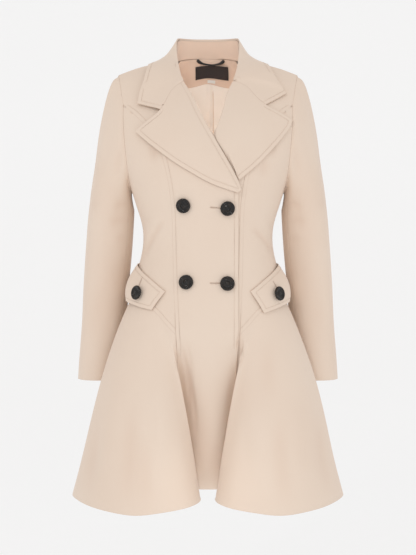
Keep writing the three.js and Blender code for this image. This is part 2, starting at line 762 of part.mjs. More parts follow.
// Over the arm the cap's edge lies in line with the armhole's
function sleeveGrid() {
  const columns = sleeveColumns();
  const top = TUBE_Z[0];
  const { middle, out, spread, lift, drop, pull, arrive, lean } = SLEEVE_CAP;
  const cap = SLEEVE_CAP.parts.map((part) =>
    columns.map(({ spot, turn }) => {
      const end = sleeveTube(turn, top);
      const span = spot.point.distanceTo(end);
      const away = spot.point.clone().sub(vector(middle)).setX(0).normalize();
      const leave = new THREE.Vector3(out, away.y * spread, away.z * lift - drop).normalize();
      const over = overArm(turn);
      const first = spot.point.clone().addScaledVector(leave, span * mix(pull.under, pull.over, over));
      const back = span * mix(arrive.under, arrive.over, over);
      const second = end.clone().addScaledVector(vector(lean.under).lerp(vector(lean.over), over), back);
      const curve = new THREE.CubicBezierCurve3(spot.point, first, second, end);
      return curve.getPoint(part);
    }),
  );
  const tube = TUBE_Z.map((z) => columns.map(({ turn }) => sleeveTube(turn, z)));
  const points = [...cap, ...tube];
  return points.map((row, r) =>
    row.map((point, c) => {
      const last = row.length - 1;
      const before = row[c === 0 ? last - 1 : c - 1];
      const after = row[c === last ? 1 : c + 1];
      const above = points[Math.max(0, r - 1)][c];
      const below = points[Math.min(points.length - 1, r + 1)][c];
      const normal = after.clone().sub(before).cross(below.clone().sub(above)).normalize();
      const { spot, turn } = columns[c];
      if (r === 0) normal.lerp(spot.normal, overArm(turn) ** 2).normalize();
      return { point, normal, lift: 0 };
    }),
  );
}

// The sleeve halves meet along the columns named here
const SLEEVE_SEAMS = { front: 7, back: 12 };

function addSleeves() {
  const grid = sleeveGrid();
  const last = grid[0].length - 1;
  const under = grid.map((row) => row.slice(SLEEVE_SEAMS.front, SLEEVE_SEAMS.back + 1));
  const over = grid.map((row) => [
    ...row.slice(SLEEVE_SEAMS.back, last),
    ...row.slice(0, SLEEVE_SEAMS.front + 1),
  ]);
  for (const side of SIDES) {
    wall(`top_sleeve_${side.name}`, mirroredGrid(over, side.sign));
    wall(`under_sleeve_${side.name}`, mirroredGrid(under, side.sign));
  }
}

// What lies on the front is made from the body's own points, moved out

const onFront = (x, z, lift) => ({ ...torsoSpot(angleAt(x, z, "front"), z), lift });

// How far a lapel's face lies above the front: most along its roll, which is softer at the gorge
const LAPEL_BASE = { right: LAP.lift + CLOTH + LAYER, left: CLOTH + LAYER };
const LAPEL_ROLL = { height: 3.2, from: 0.08, spread: 1.25, gorge: 0.5, rows: 2, edge: 1.6 };

function lapelLift(base, part, row) {
  const { height, from, spread, gorge, rows, edge } = LAPEL_ROLL;
  const soft = mix(gorge, 1, smooth(0, rows, row));
  return base + height * soft * Math.sin(Math.PI * Math.min(1, part * spread + from)) + edge * part;
}

function lapelGrid(lapel, base) {
  const columns = lapel.gorge.length - 1;
  const gorgeParts = lapel.gorge.map((_, c) => c / columns);
  return [
    lapel.gorge.map(({ x, z }, c) => onFront(x, z, lapelLift(base, gorgeParts[c], 0))),
    ...lapel.rows.map((row, r) =>
      gorgeParts.map((part) => {
        const x = mix(row.rollX, row.edgeX, part);
        const z = mix(row.rollZ, row.edgeZ, part);
        return onFront(x, z, lapelLift(base, part, r + 1));
      }),
    ),
  ];
}

function addLapels() {
  for (const side of SIDES) {
    const grid = lapelGrid(LAPEL[side.name], LAPEL_BASE[side.name]);
    wall(`lapel_${side.name}`, mirroredGrid(grid, side.sign));
  }
}

// Collar: a stand round the neck and a fall that turns down over the shoulders and the lapels

// A point of the collar; where y is null it lies over the body's front or back
function collarPoint([x, y, z], lift, face) {
  if (y !== null) return new THREE.Vector3(x, y, z);
  const spot = torsoSpot(angleAt(x, z, face), z);
  return spot.point.addScaledVector(spot.normal, lift);
}

// The fold and the edge of the fall on one side
function fallEnds(side) {
  const lift = COLLAR_LIFT[side];
  return [...COLLAR_BACK, ...COLLAR_FRONT[side]].map(({ fold, edge }, i) => {
    const face = i < COLLAR_BACK.length ? "back" : "front";
    return {
      fold: collarPoint(fold, lift.fold, face),
      edge: collarPoint(edge, lift.edge, face),
      bulge: COLLAR_BULGE[i],
    };
  });
}

// The stand: how far its top lies under the fold, how far its outer side lies in, and its wall
const STAND = { drop: 5.5, lift: -1.4, thick: 1.6 };
// The fall's front end meets the first parts of the gorge seam
const GORGE = { parts: 3, gap: 0.8 };
// How far the fall bulges between fold and edge, from the middle of the back to its front end,
// and sooner below the fold than above the edge
const COLLAR_BULGE = [2, 2, 2.5, 3, 2.5, 1, 0, 4, 6, 5, 3, 2];
const BULGE_FADE = 0.3;
// How far the fall lies above the body where the tables give no depth
const COLLAR_LIFT = { right: { fold: 8, edge: 7.5 }, left: { fold: 5, edge: 5.5 } };
// Rows of the fall from its fold to its edge
const FALL_PARTS = [0, 0.07, 0.3, 0.55, 0.8, 1];

// The front end of the fall lies along the gorge seam, as high as the lapel does
function gorgeColumn(side, sign) {
  const { gorge } = LAPEL[side];
  return FALL_PARTS.map((part) => {
    const along = part * GORGE.parts;
    const at = Math.min(GORGE.parts - 1, Math.floor(along));
    const x = mix(gorge[at].x, gorge[at + 1].x, along - at) + GORGE.gap;
    const z = mix(gorge[at].z, gorge[at + 1].z, along - at) + GORGE.gap;
    const lift = lapelLift(LAPEL_BASE[side], along / (gorge.length - 1), 0);
    return collarPoint([x, null, z], lift, "front").multiply(new THREE.Vector3(sign, 1, 1));
  });
}

const mirrorEnds = ({ fold, edge, bulge }) => ({
  fold: fold.setX(-fold.x),
  edge: edge.setX(-edge.x),
  bulge,
});

// One column of the fall, bulging outwards between its fold and its edge
function fallColumn({ fold, edge, bulge }, along) {
  const down = edge.clone().sub(fold);
  const out = along.clone().cross(down).normalize();
  return FALL_PARTS.map((part) =>
    fold
      .clone()
      .addScaledVector(down, part)
      .addScaledVector(out, bulge * Math.sin(Math.PI * part) * (1 - part * BULGE_FADE)),
  );
}

function withNormals(points) {
  const at = (r, c) => points[Math.min(points.length - 1, Math.max(0, r))][c];
  return points.map((row, r) =>
    row.map((point, c) => {
      const across = at(r, Math.min(row.length - 1, c + 1)).clone().sub(at(r, Math.max(0, c - 1)));
      const down = at(r + 1, c).clone().sub(at(r - 1, c));
      return { point, normal: down.cross(across).normalize(), lift: 0 };
    }),
  );
}

function addCollar() {
  const right = fallEnds("right").map((ends) => mirrorEnds(ends));
  const ends = [...right.reverse(), ...fallEnds("left").slice(1)];
  const columns = ends.map((end, i) => {
    const next = ends[Math.min(ends.length - 1, i + 1)].edge;
    const before = ends[Math.max(0, i - 1)].edge;
    return fallColumn(end, next.clone().sub(before));
  });
  columns[0] = gorgeColumn("right", -1);
  columns[columns.length - 1] = gorgeColumn("left", 1);
  wall("collar_fall", withNormals(columns));
  const stand = (side, sign) =>
    [...COLLAR_BACK, ...COLLAR_FRONT[side]]
      .filter(({ seam }) => seam)
      .map(({ seam, fold }) => {
        const height = vector(fold).distanceTo(vector(seam));
        const top = vector(fold).lerp(vector(seam), STAND.drop / height);
        return [top, top.clone().lerp(vector(seam), 0.5), vector(seam)].map((point) =>
          point.setX(point.x * sign),
        );
      });
  const rows = [...stand("right", -1).reverse(), ...stand("left", 1).slice(1)];
  wall("collar_stand", withNormals(rows), { lift: STAND.lift, thick: STAND.thick });
}

// Pocket flaps round the hips

// Rows of a flap from its top edge to its bottom edge
const FLAP_DOWN = [0, 0.2, 0.42, 0.65, 0.85, 1];
// The part of half a wave in which a flap stands off below its top edge
const FLAP_WAVE = 0.82;
// How much lower the front end of each flap hangs, which fades towards the back
const FLAP_HANG = { right: 2, left: 8 };

function flapGrid(side) {
  return FLAP.map(({ topX, topZ, lowX, lowZ, bulge, seat, past }, i) => {
    const angle = (x, z) => (past ? Math.PI / 2 + past : angleAt(x, z, "front"));
    const hem = lowZ - FLAP_HANG[side] * (1 - i / (FLAP.length - 1)) ** 2;
    const top = angle(topX, topZ);
    const low = angle(lowX, hem);
    return FLAP_DOWN.map((part) => {
      const spot = torsoSpot(mix(top, low, part), mix(topZ, hem, part));
      spot.lift = CLOTH + seat + bulge * Math.sin(Math.PI * FLAP_WAVE * part);
      return spot;
    });
  });
}

function addFlaps() {
  for (const side of SIDES) {
    wall(`pocket_flap_${side.name}`, mirroredGrid(flapGrid(side.name), side.sign));
  }
}

// Buttons: a dished face with a rim and a centre boss, on a short shank

const BUTTON_PROFILE = [
  { out: 0, up: -1 },
  { out: 0.22, up: -1 },
  { out: 0.24, up: 0 },
  { out: 0.8, up: 0.12 },
  { out: 1, up: 0.5 },
  { out: 0.95, up: 0.9 },
  { out: 0.84, up: 1 },
  { out: 0.7, up: 0.72 },
  { out: 0.34, up: 0.56 },
  { out: 0.22, up: 0.72 },
  { out: 0, up: 0.78 },
];
const BUTTON_SIDES = 16;

function buttonGeometry() {
  const profile = BUTTON_PROFILE.map(({ out, up }) => {
    const height = up < 0 ? BUTTON.shank : BUTTON.thick;
    return new THREE.Vector2(out * BUTTON.radius, up * height);
  });
  const lathe = new THREE.LatheGeometry(profile, BUTTON_SIDES);
  lathe.rotateX(Math.PI / 2);
  return lathe;
}

function addButton(name, spot, lift) {
  const mesh = addMesh(name, buttonGeometry(), COLOURS.black, 0.2);
  const base = lift + BUTTON.shank + SEAM;
  mesh.position.copy(spot.point).addScaledVector(spot.normal, base);
  mesh.quaternion.setFromUnitVectors(new THREE.Vector3(0, 0, 1), spot.normal);
}

// Centres of the front buttons, on the wearer's left (positive) and right
const BUTTONS = [
  { name: "button_upper_right", x: -43.7, z: -281 },
  { name: "button_upper_left", x: 34.8, z: -286 },
  { name: "button_lower_right", x: -39, z: -421.5 },
  { name: "button_lower_left", x: 34.7, z: -424 },
];
// Place of the flap's button on the flap's rows and columns, and how far it clears the curve
const FLAP_BUTTON = { row: 2.6, column: 2.68, clear: 0.4 };

function addButtons() {
  const front = frontPanel(ROLL.right, true);
  for (const { name, x, z } of BUTTONS) {
    const spot = mirrored(findSpot(front, -x, z), -1);
    addButton(name, spot, spot.lift);
  }
  for (const side of SIDES) {
    const spot = gridSpot(flapGrid(side.name), FLAP_BUTTON.row, FLAP_BUTTON.column);
    addButton(`button_flap_${side.name}`, mirrored(spot, side.sign), spot.lift + FLAP_BUTTON.clear);
  }
}

// Inside the back of the neck: the facing, the lining below it, the label, its tag and the loop

// Rows of the back that the facing and the lining take up, and how far they lie inside the cloth
const INSIDE = {
  columns: 4,
  facingRows: YOKE_PARTS.length + 1,
  liningRows: YOKE_PARTS.length + 7,
  lift: -CLOTH - 0.4,
};
// Places in rows of the facing, from the neck seam down
const LABEL = { middle: 8.5, width: 68, top: 0.76, bottom: 2.86, tilt: 0.16, off: 0.8 };
const SIZE_TAG = { middle: 7, width: 16, top: 3.2, bottom: 3.74, tilt: 0.16, off: 0.6 };
const PATCH_ACROSS = [-0.5, -0.25, 0, 0.25, 0.5];
// The loop hangs between two places near the neck seam and stands off the facing in its middle
const LOOP = {
  middle: 6,
  half: 27,
  top: 0,
  sag: 0.68,
  sagShape: 0.7,
  radius: 1.6,
  off: 1,
  stand: 5.5,
  points: 10,
  steps: 14,
  sides: 8,
};

// The back's upper rows on both sides of the centre
function neckGrid(from, to) {
  return backPanel()
    .slice(from, to + 1)
    .map((row) => {
      const near = row.slice(0, INSIDE.columns + 1);
      const far = near.slice(1).reverse();
      return [...far.map((spot) => mirrored(spot, -1)), ...near];
    });
}

function addPatch(name, grid, { middle, width, top, bottom, tilt, off }, colour) {
  const spots = [0, 0.5, 1].map((part) =>
    PATCH_ACROSS.map((at) => rowSpot(grid, mix(top, bottom, part) - at * tilt, middle + at * width)),
  );
  wall(name, spots, { lift: INSIDE.lift - THIN - off, thick: RIBBON, colour });
}

function addLoop(grid) {
  const points = Array.from({ length: LOOP.points + 1 }, (_, i) => {
    const part = i / LOOP.points;
    const hang = Math.sin(Math.PI * part);
    const x = LOOP.middle + LOOP.half * (2 * part - 1);
    const spot = rowSpot(grid, LOOP.top + LOOP.sag * hang ** LOOP.sagShape, x);
    const away = CLOTH + THIN + LOOP.off + LOOP.radius + LOOP.stand * hang;
    return spot.point.addScaledVector(spot.normal, -away);
  });
  const curve = new THREE.CatmullRomCurve3(points);
  const section = new THREE.Shape();
  section.absarc(0, 0, LOOP.radius, 0, 2 * Math.PI);
  const geometry = new THREE.ExtrudeGeometry(section, {
    steps: LOOP.steps,
    curveSegments: LOOP.sides,
    extrudePath: curve,
  });
  addMesh("hanger_loop", geometry, COLOURS.black, 0.6);
}

function addInside() {
  const facing = neckGrid(0, INSIDE.facingRows);
  const { lift } = INSIDE;
  wall("neck_facing", facing, { lift, thick: THIN, colour: COLOURS.inside });
  const lining = neckGrid(INSIDE.facingRows, INSIDE.liningRows);
  wall("back_lining", lining, { lift, thick: THIN, colour: COLOURS.lining, roughness: 0.5 });
  addPatch("neck_label", facing, LABEL, COLOURS.label);
  addPatch("size_tag", facing, SIZE_TAG, COLOURS.white);
  addLoop(facing);
}

addBody();
addSleeves();
addLapels();
addCollar();
addFlaps();
addButtons();
addInside();

export default coat;
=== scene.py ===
import math

import bmesh
import bpy
import numpy as np
from bpy.props import FloatProperty, FloatVectorProperty, IntProperty, PointerProperty
from bpy.types import Operator, Panel, PropertyGroup
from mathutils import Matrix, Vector, kdtree


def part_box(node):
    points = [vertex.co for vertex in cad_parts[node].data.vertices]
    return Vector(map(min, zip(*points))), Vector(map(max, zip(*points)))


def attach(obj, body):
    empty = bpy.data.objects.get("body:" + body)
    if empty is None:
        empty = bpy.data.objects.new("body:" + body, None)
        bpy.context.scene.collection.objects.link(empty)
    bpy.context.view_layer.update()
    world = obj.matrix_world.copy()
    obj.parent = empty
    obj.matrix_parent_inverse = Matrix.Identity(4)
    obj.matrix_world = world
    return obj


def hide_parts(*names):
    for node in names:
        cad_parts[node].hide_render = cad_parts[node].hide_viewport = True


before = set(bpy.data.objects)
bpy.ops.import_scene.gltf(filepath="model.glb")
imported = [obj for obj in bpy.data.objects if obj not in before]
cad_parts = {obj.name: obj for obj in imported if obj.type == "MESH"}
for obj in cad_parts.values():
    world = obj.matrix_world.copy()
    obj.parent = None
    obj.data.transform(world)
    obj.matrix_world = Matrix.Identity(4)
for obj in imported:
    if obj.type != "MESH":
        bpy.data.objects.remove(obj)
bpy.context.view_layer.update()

bl_info = {
    "name": "Skater coat",
    "version": (1, 0, 0),
    "blender": (4, 5, 0),
    "location": "3D View > Sidebar > Coat",
    "description": "Builds the cloth, sewing and trims of a double-breasted skater coat",
    "category": "Object",
}

MM = 0.001


def length_property(name, description, default):
    """One of the coat's sizes."""
    return FloatProperty(name=name, description=description, default=default, unit="LENGTH")


def colour_property(name, description, default):
    """One of the coat's colours."""
    return FloatVectorProperty(
        name=name, description=description, subtype="COLOR", size=3, default=default
    )


class CoatSizes(PropertyGroup):
    """Sizes of the coat's cloth and sewing."""

    cloth: length_property("Cloth", "Thickness of the coat cloth with its facing", 2 * MM)
    thin: length_property("Lining", "Thickness of the lining and the neck facing", 1.1 * MM)
    edge_round: length_property("Edge rounding", "Radius of the edges of collar and flaps", 0.8 * MM)
    seam_round: length_property("Seam rounding", "Radius of the cloth's turn into a seam", 0.5 * MM)
    stitch_inset: length_property("Stitch inset", "From the topstitching to the edge", 7.5 * MM)
    stitch_pitch: length_property("Stitch pitch", "From one stitch to the next", 3.6 * MM)
    thread: length_property("Thread", "Radius of the sewing thread", 0.24 * MM)
    button_sides: IntProperty(
        name="Button sides", description="Number of sides of a button's rim", default=48, min=12, max=96
    )
    camera_distance: length_property("Camera distance", "From the camera to the coat's middle", 1.8)


class CoatColours(PropertyGroup):
    """Colours of the coat's cloth and trims."""

    cloth: colour_property("Cloth", "Coat cloth", (0.80, 0.675, 0.57))
    # painted shade: the cloth's tone in its fold troughs and along its edges, seams and stitching; its
    # mottle and fibres take a little of it too
    mottle_and_shade_tone: colour_property("Cloth in shade", "Warmer tone in the cloth's hollows", (0.73, 0.565, 0.455))
    facing: colour_property("Facing", "Facing and stand inside the neck", (0.79, 0.6, 0.48))
    lining: colour_property("Lining", "Satin lining", (0.97, 0.9, 0.82))
    button: colour_property("Buttons", "Polished buttons", (0.008, 0.007, 0.007))
    label: colour_property("Label", "Bare woven label", (0.022, 0.015, 0.014))
    tag: colour_property("Size tag", "Bare white tag under the label", (0.75, 0.74, 0.71))
    stage: colour_property("Stage", "Floor and backdrop", (0.915, 0.92, 0.925))


# A wall's outside faces away from an upright axis, given by its x and y on the wearer's left
BODY_AXIS = (0, 0.01)
SLEEVE_AXIS = (0.2, 0.03)
SEEN_INSIDE = ("neck_label", "size_tag")  # these are made from the side that faces into the neck
WALL_TURN = math.radians(42)  # a wall's face and its rim meet at more than this
RIM_TURN = math.radians(55)  # and a sheet's rim is rounded where it turns by more than this
CORNER_TURN = math.radians(50)  # an edge that turns by more than this has a pointed corner
MERGE = 0.01 * MM  # points of a CAD mesh this near are one

# Folds, in millimetres. A row is one soft trough (deep below 0) or ridge along a line, seen from
# one face: from and to are points across and up. bow bends the line sideways, wide is its half
# width, and the ends fade over the share of the length given by fade.
FOLD_COLUMNS = ("face", "from", "to", "bow", "wide", "deep", "fade")
BODY_FOLDS = [
    ("front", (-124, -382), (-76, -302), 6, 5.5, -2.4, 0.3),
    ("front", (-131, -366), (-86, -290), 6, 9, 1.8, 0.35),
    ("front", (129, -376), (76, -318), -6, 5.5, -2.3, 0.3),
    ("front", (134, -354), (88, -304), -6, 9, 1.7, 0.35),
    ("front", (-51, -524), (-34, -668), 4, 3.4, -2.2, 0.35),
    ("front", (-46, -530), (-24, -730), 6, 3.6, -2.0, 0.4),
    ("front", (-41, -520), (-30, -610), 3, 3, -1.4, 0.45),
    ("front", (60, -500), (55, -560), -2, 3.2, -1.8, 0.4),
    ("front", (66, -508), (62, -580), -2, 3.4, -1.6, 0.4),
    ("front", (-103, -158), (-99, -206), 2, 9, -2.2, 0.5),
    ("front", (-88, -176), (-76, -226), -2, 8, 1.2, 0.5),
    ("front", (124, -150), (119, -196), -2, 8, -1.8, 0.5),
    ("front", (106, -186), (97, -232), 2, 9, -2.0, 0.5),
    ("front", (42, -246), (56, -262), 1, 4, -1.2, 0.5),
    ("front", (-49, -560), (-30, -700), 5, 9, -1.6, 0.45),
    ("front", (-12, -600), (-4, -790), -6, 22, -2.4, 0.5),
    ("front", (-141, -630), (-147, -830), 4, 15, -2.2, 0.4),
    ("front", (-109, -690), (-110, -832), -3, 13, -1.6, 0.4),
    ("front", (-92, -580), (-80, -800), 5, 15, 3.0, 0.45),
    ("front", (-174, -600), (-196, -825), 5, 15, 2.2, 0.45),
    ("front", (-118, -500), (-126, -600), 3, 16, 2.0, 0.5),
    ("front", (112, -512), (112, -640), -2, 14, -1.6, 0.5),
    ("front", (82, -590), (100, -800), -6, 14, 3.0, 0.45),
    ("front", (130, -650), (139, -830), -3, 14, -1.9, 0.4),
    ("front", (158, -620), (176, -828), -5, 14, 2.4, 0.45),
    ("front", (206, -660), (224, -820), -4, 12, -2.2, 0.45),
    ("front", (-204, -670), (-228, -820), 4, 12, -2.0, 0.45),
    ("back", (-118, -372), (-78, -306), 6, 12, -2.6, 0.45),
    ("back", (122, -366), (80, -296), -6, 12, -2.4, 0.45),
    ("back", (-40, -318), (44, -330), 4, 9, -1.6, 0.5),
    ("back", (-52, -352), (38, -346), -3, 10, 1.2, 0.5),
    ("back", (-136, -112), (-116, -190), 4, 11, -2.0, 0.5),
    ("back", (138, -108), (120, -184), -4, 11, -2.2, 0.5),
    ("back", (-20, -560), (-26, -800), 4, 18, -2.8, 0.45),
    ("back", (18, -600), (26, -805), -4, 16, -2.2, 0.45),
    ("back", (-112, -600), (-104, -822), 4, 13, -3.2, 0.4),
    ("back", (-150, -560), (-166, -822), 5, 16, 3.0, 0.45),
    ("back", (-196, -640), (-212, -820), 4, 12, -2.4, 0.4),
    ("back", (108, -620), (116, -824), -4, 14, -3.0, 0.4),
    ("back", (142, -580), (158, -822), -5, 15, 2.8, 0.45),
    ("back", (188, -650), (206, -820), -4, 13, -2.6, 0.4),
    ("side", (-20, -500), (-62, -780), 6, 16, 2.2, 0.45),
    ("side", (6, -520), (2, -790), 4, 12, -2.0, 0.45),
    ("side", (48, -520), (92, -800), -5, 15, -2.2, 0.45),
]
SLEEVE_FOLDS = [
    # this broad shallow trough is there mostly for the painted fold shade that it lays on the sleeve's
    # front
    ("front", (188, -120), (184, -600), 4, 26, -1.5, 0.3),
    ("front", (158, -150), (170, -232), 4, 9, -1.8, 0.5),
    ("front", (196, -96), (206, -206), 4, 13, 1.2, 0.5),
    ("front", (150, -262), (180, -292), 4, 8, -1.9, 0.45),
    ("front", (152, -296), (190, -318), 4, 9, -2.3, 0.45),
    ("front", (230, -244), (208, -286), 4, 10, -1.6, 0.5),
    ("front", (154, -336), (178, -346), 3, 8, -1.4, 0.45),
    ("front", (206, -400), (216, -560), 4, 15, -1.3, 0.5),
    ("front", (180, -452), (186, -560), -3, 11, 1.0, 0.5),
    ("back", (168, -140), (182, -214), 4, 11, -2.0, 0.5),
    ("back", (156, -280), (214, -300), 4, 10, -1.4, 0.5),
    ("back", (190, -440), (204, -590), 5, 15, -1.6, 0.5),
    ("side", (-18, -120), (2, -250), 4, 14, -1.6, 0.5),
    ("side", (6, -286), (58, -306), 5, 10, -1.6, 0.5),
    ("side", (30, -420), (44, -590), 5, 13, -1.5, 0.5),
]
# The lining's centre pleat and the loose cloth beside it
LINING_FOLDS = [
    ("back", (2, -2), (3, -150), 1, 3.2, -2.6, 0.2),
    ("back", (9, -2), (11, -150), 1, 4, 1.8, 0.25),
    ("back", (-16, -40), (-24, -150), -3, 9, -1.8, 0.4),
    ("back", (30, -50), (22, -150), 3, 9, -1.6, 0.4),
]


def deselect():
    """Clears the selection, which operators act on."""
    bpy.ops.object.select_all(action="DESELECT")


def select_only(piece):
    """Makes one object the selected and active one."""
    deselect()
    piece.select_set(True)
    bpy.context.view_layer.objects.active = piece


def pick(piece, chosen):
    """Selects the points at chosen places and the edges between them, in edit mode."""
    bpy.ops.object.mode_set(mode="OBJECT")
    mesh = piece.data
    for vert in mesh.vertices:
        vert.select = bool(chosen(vert.co))
    for edge in mesh.edges:
        edge.select = all(mesh.vertices[index].select for index in edge.vertices)
    for face in mesh.polygons:
        face.select = all(mesh.vertices[index].select for index in face.vertices)
    bpy.ops.object.mode_set(mode="EDIT")


def new_piece(name, mesh):
    """Links a mesh to the scene as an object at the origin."""
    piece = bpy.data.objects.new(name, mesh)
    bpy.context.scene.collection.objects.link(piece)
    return piece


def apply_modifiers(piece):
    """Applies an object's modifiers in order."""
    select_only(piece)
    for modifier in list(piece.modifiers):
        bpy.ops.object.modifier_apply(modifier=modifier.name)


def wall_sides(bm):
    """Groups of faces that meet at less than a rim's turn, the largest two first."""
    left = set(bm.faces)
    groups = []
    while left:
        stack = [left.pop()]
        group = []
        while stack:
            face = stack.pop()
            group.append(face)
            for edge in face.edges:
                if len(edge.link_faces) != 2 or edge.calc_face_angle() > WALL_TURN:
                    continue
                for other in edge.link_faces:
                    if other in left:
                        left.remove(other)
                        stack.append(other)
        groups.append(group)
    return sorted(groups, key=lambda group: -sum(face.calc_area() for face in group))


def merge_points(mesh):
    """Joins the points of a copied CAD mesh that lie together."""
    bm = bmesh.new()
    bm.from_mesh(mesh)
    bmesh.ops.remove_doubles(bm, verts=bm.verts, dist=MERGE)
    bm.to_mesh(mesh)
    bm.free()


def outwardness(group, axis):
    """How far a group of faces looks away from an upright axis."""
    total = 0.0
    for face in group:
        middle = face.calc_center_median()
        away = Vector((middle.x - axis[0], middle.y - axis[1], 0)).normalized()
        total += away.dot(face.normal) * face.calc_area()
    return total


def outer_sheet(node, name):
    """The outer side of a CAD wall as an open sheet of quads, on the node's own points."""
    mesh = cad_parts[node].data.copy()
    mesh.materials.clear()
    merge_points(mesh)
    bm = bmesh.new()
    bm.from_mesh(mesh)
    axis = SLEEVE_AXIS if "sleeve" in node else BODY_AXIS
    if node.endswith("_right"):
        axis = (-axis[0], axis[1])
    way = -1 if node in SEEN_INSIDE else 1
    sides = wall_sides(bm)[:2]
    keep = set(max(sides, key=lambda group: way * outwardness(group, axis)))
    bmesh.ops.delete(bm, geom=[face for face in bm.faces if face not in keep], context="FACES")
    any_turn = {"angle_face_threshold": math.pi, "angle_shape_threshold": math.pi}
    bmesh.ops.join_triangles(bm, faces=bm.faces, topology_influence=1.0, **any_turn)
    for face in bm.faces:
        face.smooth = True
    bm.to_mesh(mesh)
    bm.free()
    return new_piece(name, mesh)


def coordinates(mesh):
    """A mesh's points as an array."""
    points = np.empty(len(mesh.vertices) * 3)
    mesh.vertices.foreach_get("co", points)
    return points.reshape(-1, 3)


def normals(mesh):
    """A mesh's vertex normals as an array."""
    found = np.empty(len(mesh.vertices) * 3)
    mesh.vertex_normals.foreach_get("vector", found)
    return found.reshape(-1, 3)


def set_coordinates(mesh, points):
    """Moves a mesh's points."""
    mesh.vertices.foreach_set("co", points.astype(np.float32).ravel())
    mesh.update()


def store(mesh, name, values):
    """Stores a number at each of a mesh's points, for the materials."""
    mesh.attributes.new(name, "FLOAT", "POINT").data.foreach_set("value", values)


def keep_corners(mesh):
    """Creases the points where a sheet's edge turns sharply, so that they stay pointed."""
    bm = bmesh.new()
    bm.from_mesh(mesh)
    layer = bm.verts.layers.float.get("crease_vert") or bm.verts.layers.float.new("crease_vert")
    for vert in bm.verts:
        rim = [edge for edge in vert.link_edges if edge.is_boundary]
        ways = [(edge.other_vert(vert).co - vert.co).normalized() for edge in rim]
        if len(ways) == 2 and ways[0].angle(-ways[1]) > CORNER_TURN:
            vert[layer] = 1.0
    bm.to_mesh(mesh)
    bm.free()


def smooth_through(piece, levels, passes=4):
    """Subdivides a sheet into a smooth one that still passes through its own points."""
    keep_corners(piece.data)
    modifier = piece.modifiers.new("Smooth", "SUBSURF")
    modifier.levels = levels
    modifier.render_levels = levels
    modifier.boundary_smooth = "PRESERVE_CORNERS"
    modifier.use_limit_surface = False
    goal = coordinates(piece.data)
    for _ in range(passes):
        graph = bpy.context.evaluated_depsgraph_get()
        reached = coordinates(piece.evaluated_get(graph).data)[: len(goal)]
        set_coordinates(piece.data, coordinates(piece.data) + goal - reached)
    apply_modifiers(piece)
    return piece


def smoothstep(value):
    """0 to 1 with soft ends."""
    part = np.clip(value, 0, 1)
    return part * part * (3 - 2 * part)


# The axes that a fold's line is drawn on, and the direction that its face looks in
FACES = {"front": ((0, 2), (0, -1, 0)), "back": ((0, 2), (0, 1, 0)), "side": ((1, 2), (1, 0, 0))}
FACING = 0.55  # how squarely the cloth looks that way where a fold has its full depth
FULL_SHADE_DEPTH = 3 * MM  # a trough this deep gets the full painted fold shade


def fold_depth(points, directions, fold, sign=1):
    """How far one fold moves each point, in metres; sign -1 mirrors it to the wearer's right."""
    row = dict(zip(FOLD_COLUMNS, fold))
    axes, look = FACES[row["face"]]
    flip = np.array([sign, 1, 1])
    start, end = np.array(row["from"]) * MM, np.array(row["to"]) * MM
    length = np.linalg.norm(end - start)
    run = (end - start) / length
    offset = (points * flip)[:, axes] - start
    along = offset @ run / length
    middle = np.clip(along, 0, 1)
    across = offset @ np.array([-run[1], run[0]]) - row["bow"] * MM * 4 * middle * (1 - middle)
    ends = smoothstep(along / row["fade"]) * smoothstep((1 - along) / row["fade"])
    wave = np.exp(-((across / (row["wide"] * MM)) ** 2))
    facing = smoothstep((directions * flip) @ np.array(look) / FACING)
    return row["deep"] * MM * wave * ends * facing


def edge_points(mesh):
    """Indices of the points on a sheet's open edge."""
    bm = bmesh.new()
    bm.from_mesh(mesh)
    found = [vert.index for vert in bm.verts if vert.is_boundary]
    bm.free()
    return np.array(found, int)


SAME_SEAM = 1 * MM  # edges this near move as one when the cloth is pressed


def shared_normals(pieces):
    """Normals of several sheets, averaged where their edges meet, so that seams stay closed."""
    borders = {piece.name: edge_points(piece.data) for piece in pieces}
    points = {piece.name: coordinates(piece.data) for piece in pieces}
    own = {piece.name: normals(piece.data) for piece in pieces}
    spots = [(name, index) for name, border in borders.items() for index in border]
    tree = point_tree([points[name][index] for name, index in spots])
    shared = {name: value.copy() for name, value in own.items()}
    for name, index in spots:
        total = Vector((0, 0, 0))
        for _, place, _ in tree.find_range(points[name][index], SAME_SEAM):
            other, spot = spots[place]
            total += Vector(own[other][spot])
        shared[name][index] = total.normalized()
    return shared


# Seams are closed over a reach of their own, and an edge moves by a share of the gap
SEAM_REACH = {"body": 0.6 * MM, "sleeve": 1.5 * MM, "fall": 3.2 * MM, "facing": 6 * MM, "lining": 1 * MM}
SHARE = {"both": 0.48, "earlier": 0.9}
_borders = []


def close_seams(pieces, reach):
    """Draws the edges of sheets together where they are sewn to one another or to earlier ones."""
    rows = [(piece.name, index) for piece in pieces for index in edge_points(piece.data)]
    points = {piece.name: coordinates(piece.data) for piece in pieces}
    spots = [points[name][index].copy() for name, index in rows] + [spot for _, spot in _borders]
    owners = [name for name, _ in rows] + [name for name, _ in _borders]
    tree = point_tree(spots)
    for (name, index), spot in zip(rows, spots):
        near = [(gap, place) for _, place, gap in tree.find_range(spot, reach) if owners[place] != name]
        if near:
            _, place = min(near)
            share = SHARE["both" if place < len(rows) else "earlier"]
            points[name][index] = spot + (spots[place] - spot) * share
    for piece in pieces:
        set_coordinates(piece.data, points[piece.name])


def remember_borders(pieces):
    """Keeps the edges of finished sheets, for the sheets that are sewn to them."""
    for piece in pieces:
        points = coordinates(piece.data)
        _borders.extend((piece.name, points[index]) for index in edge_points(piece.data))


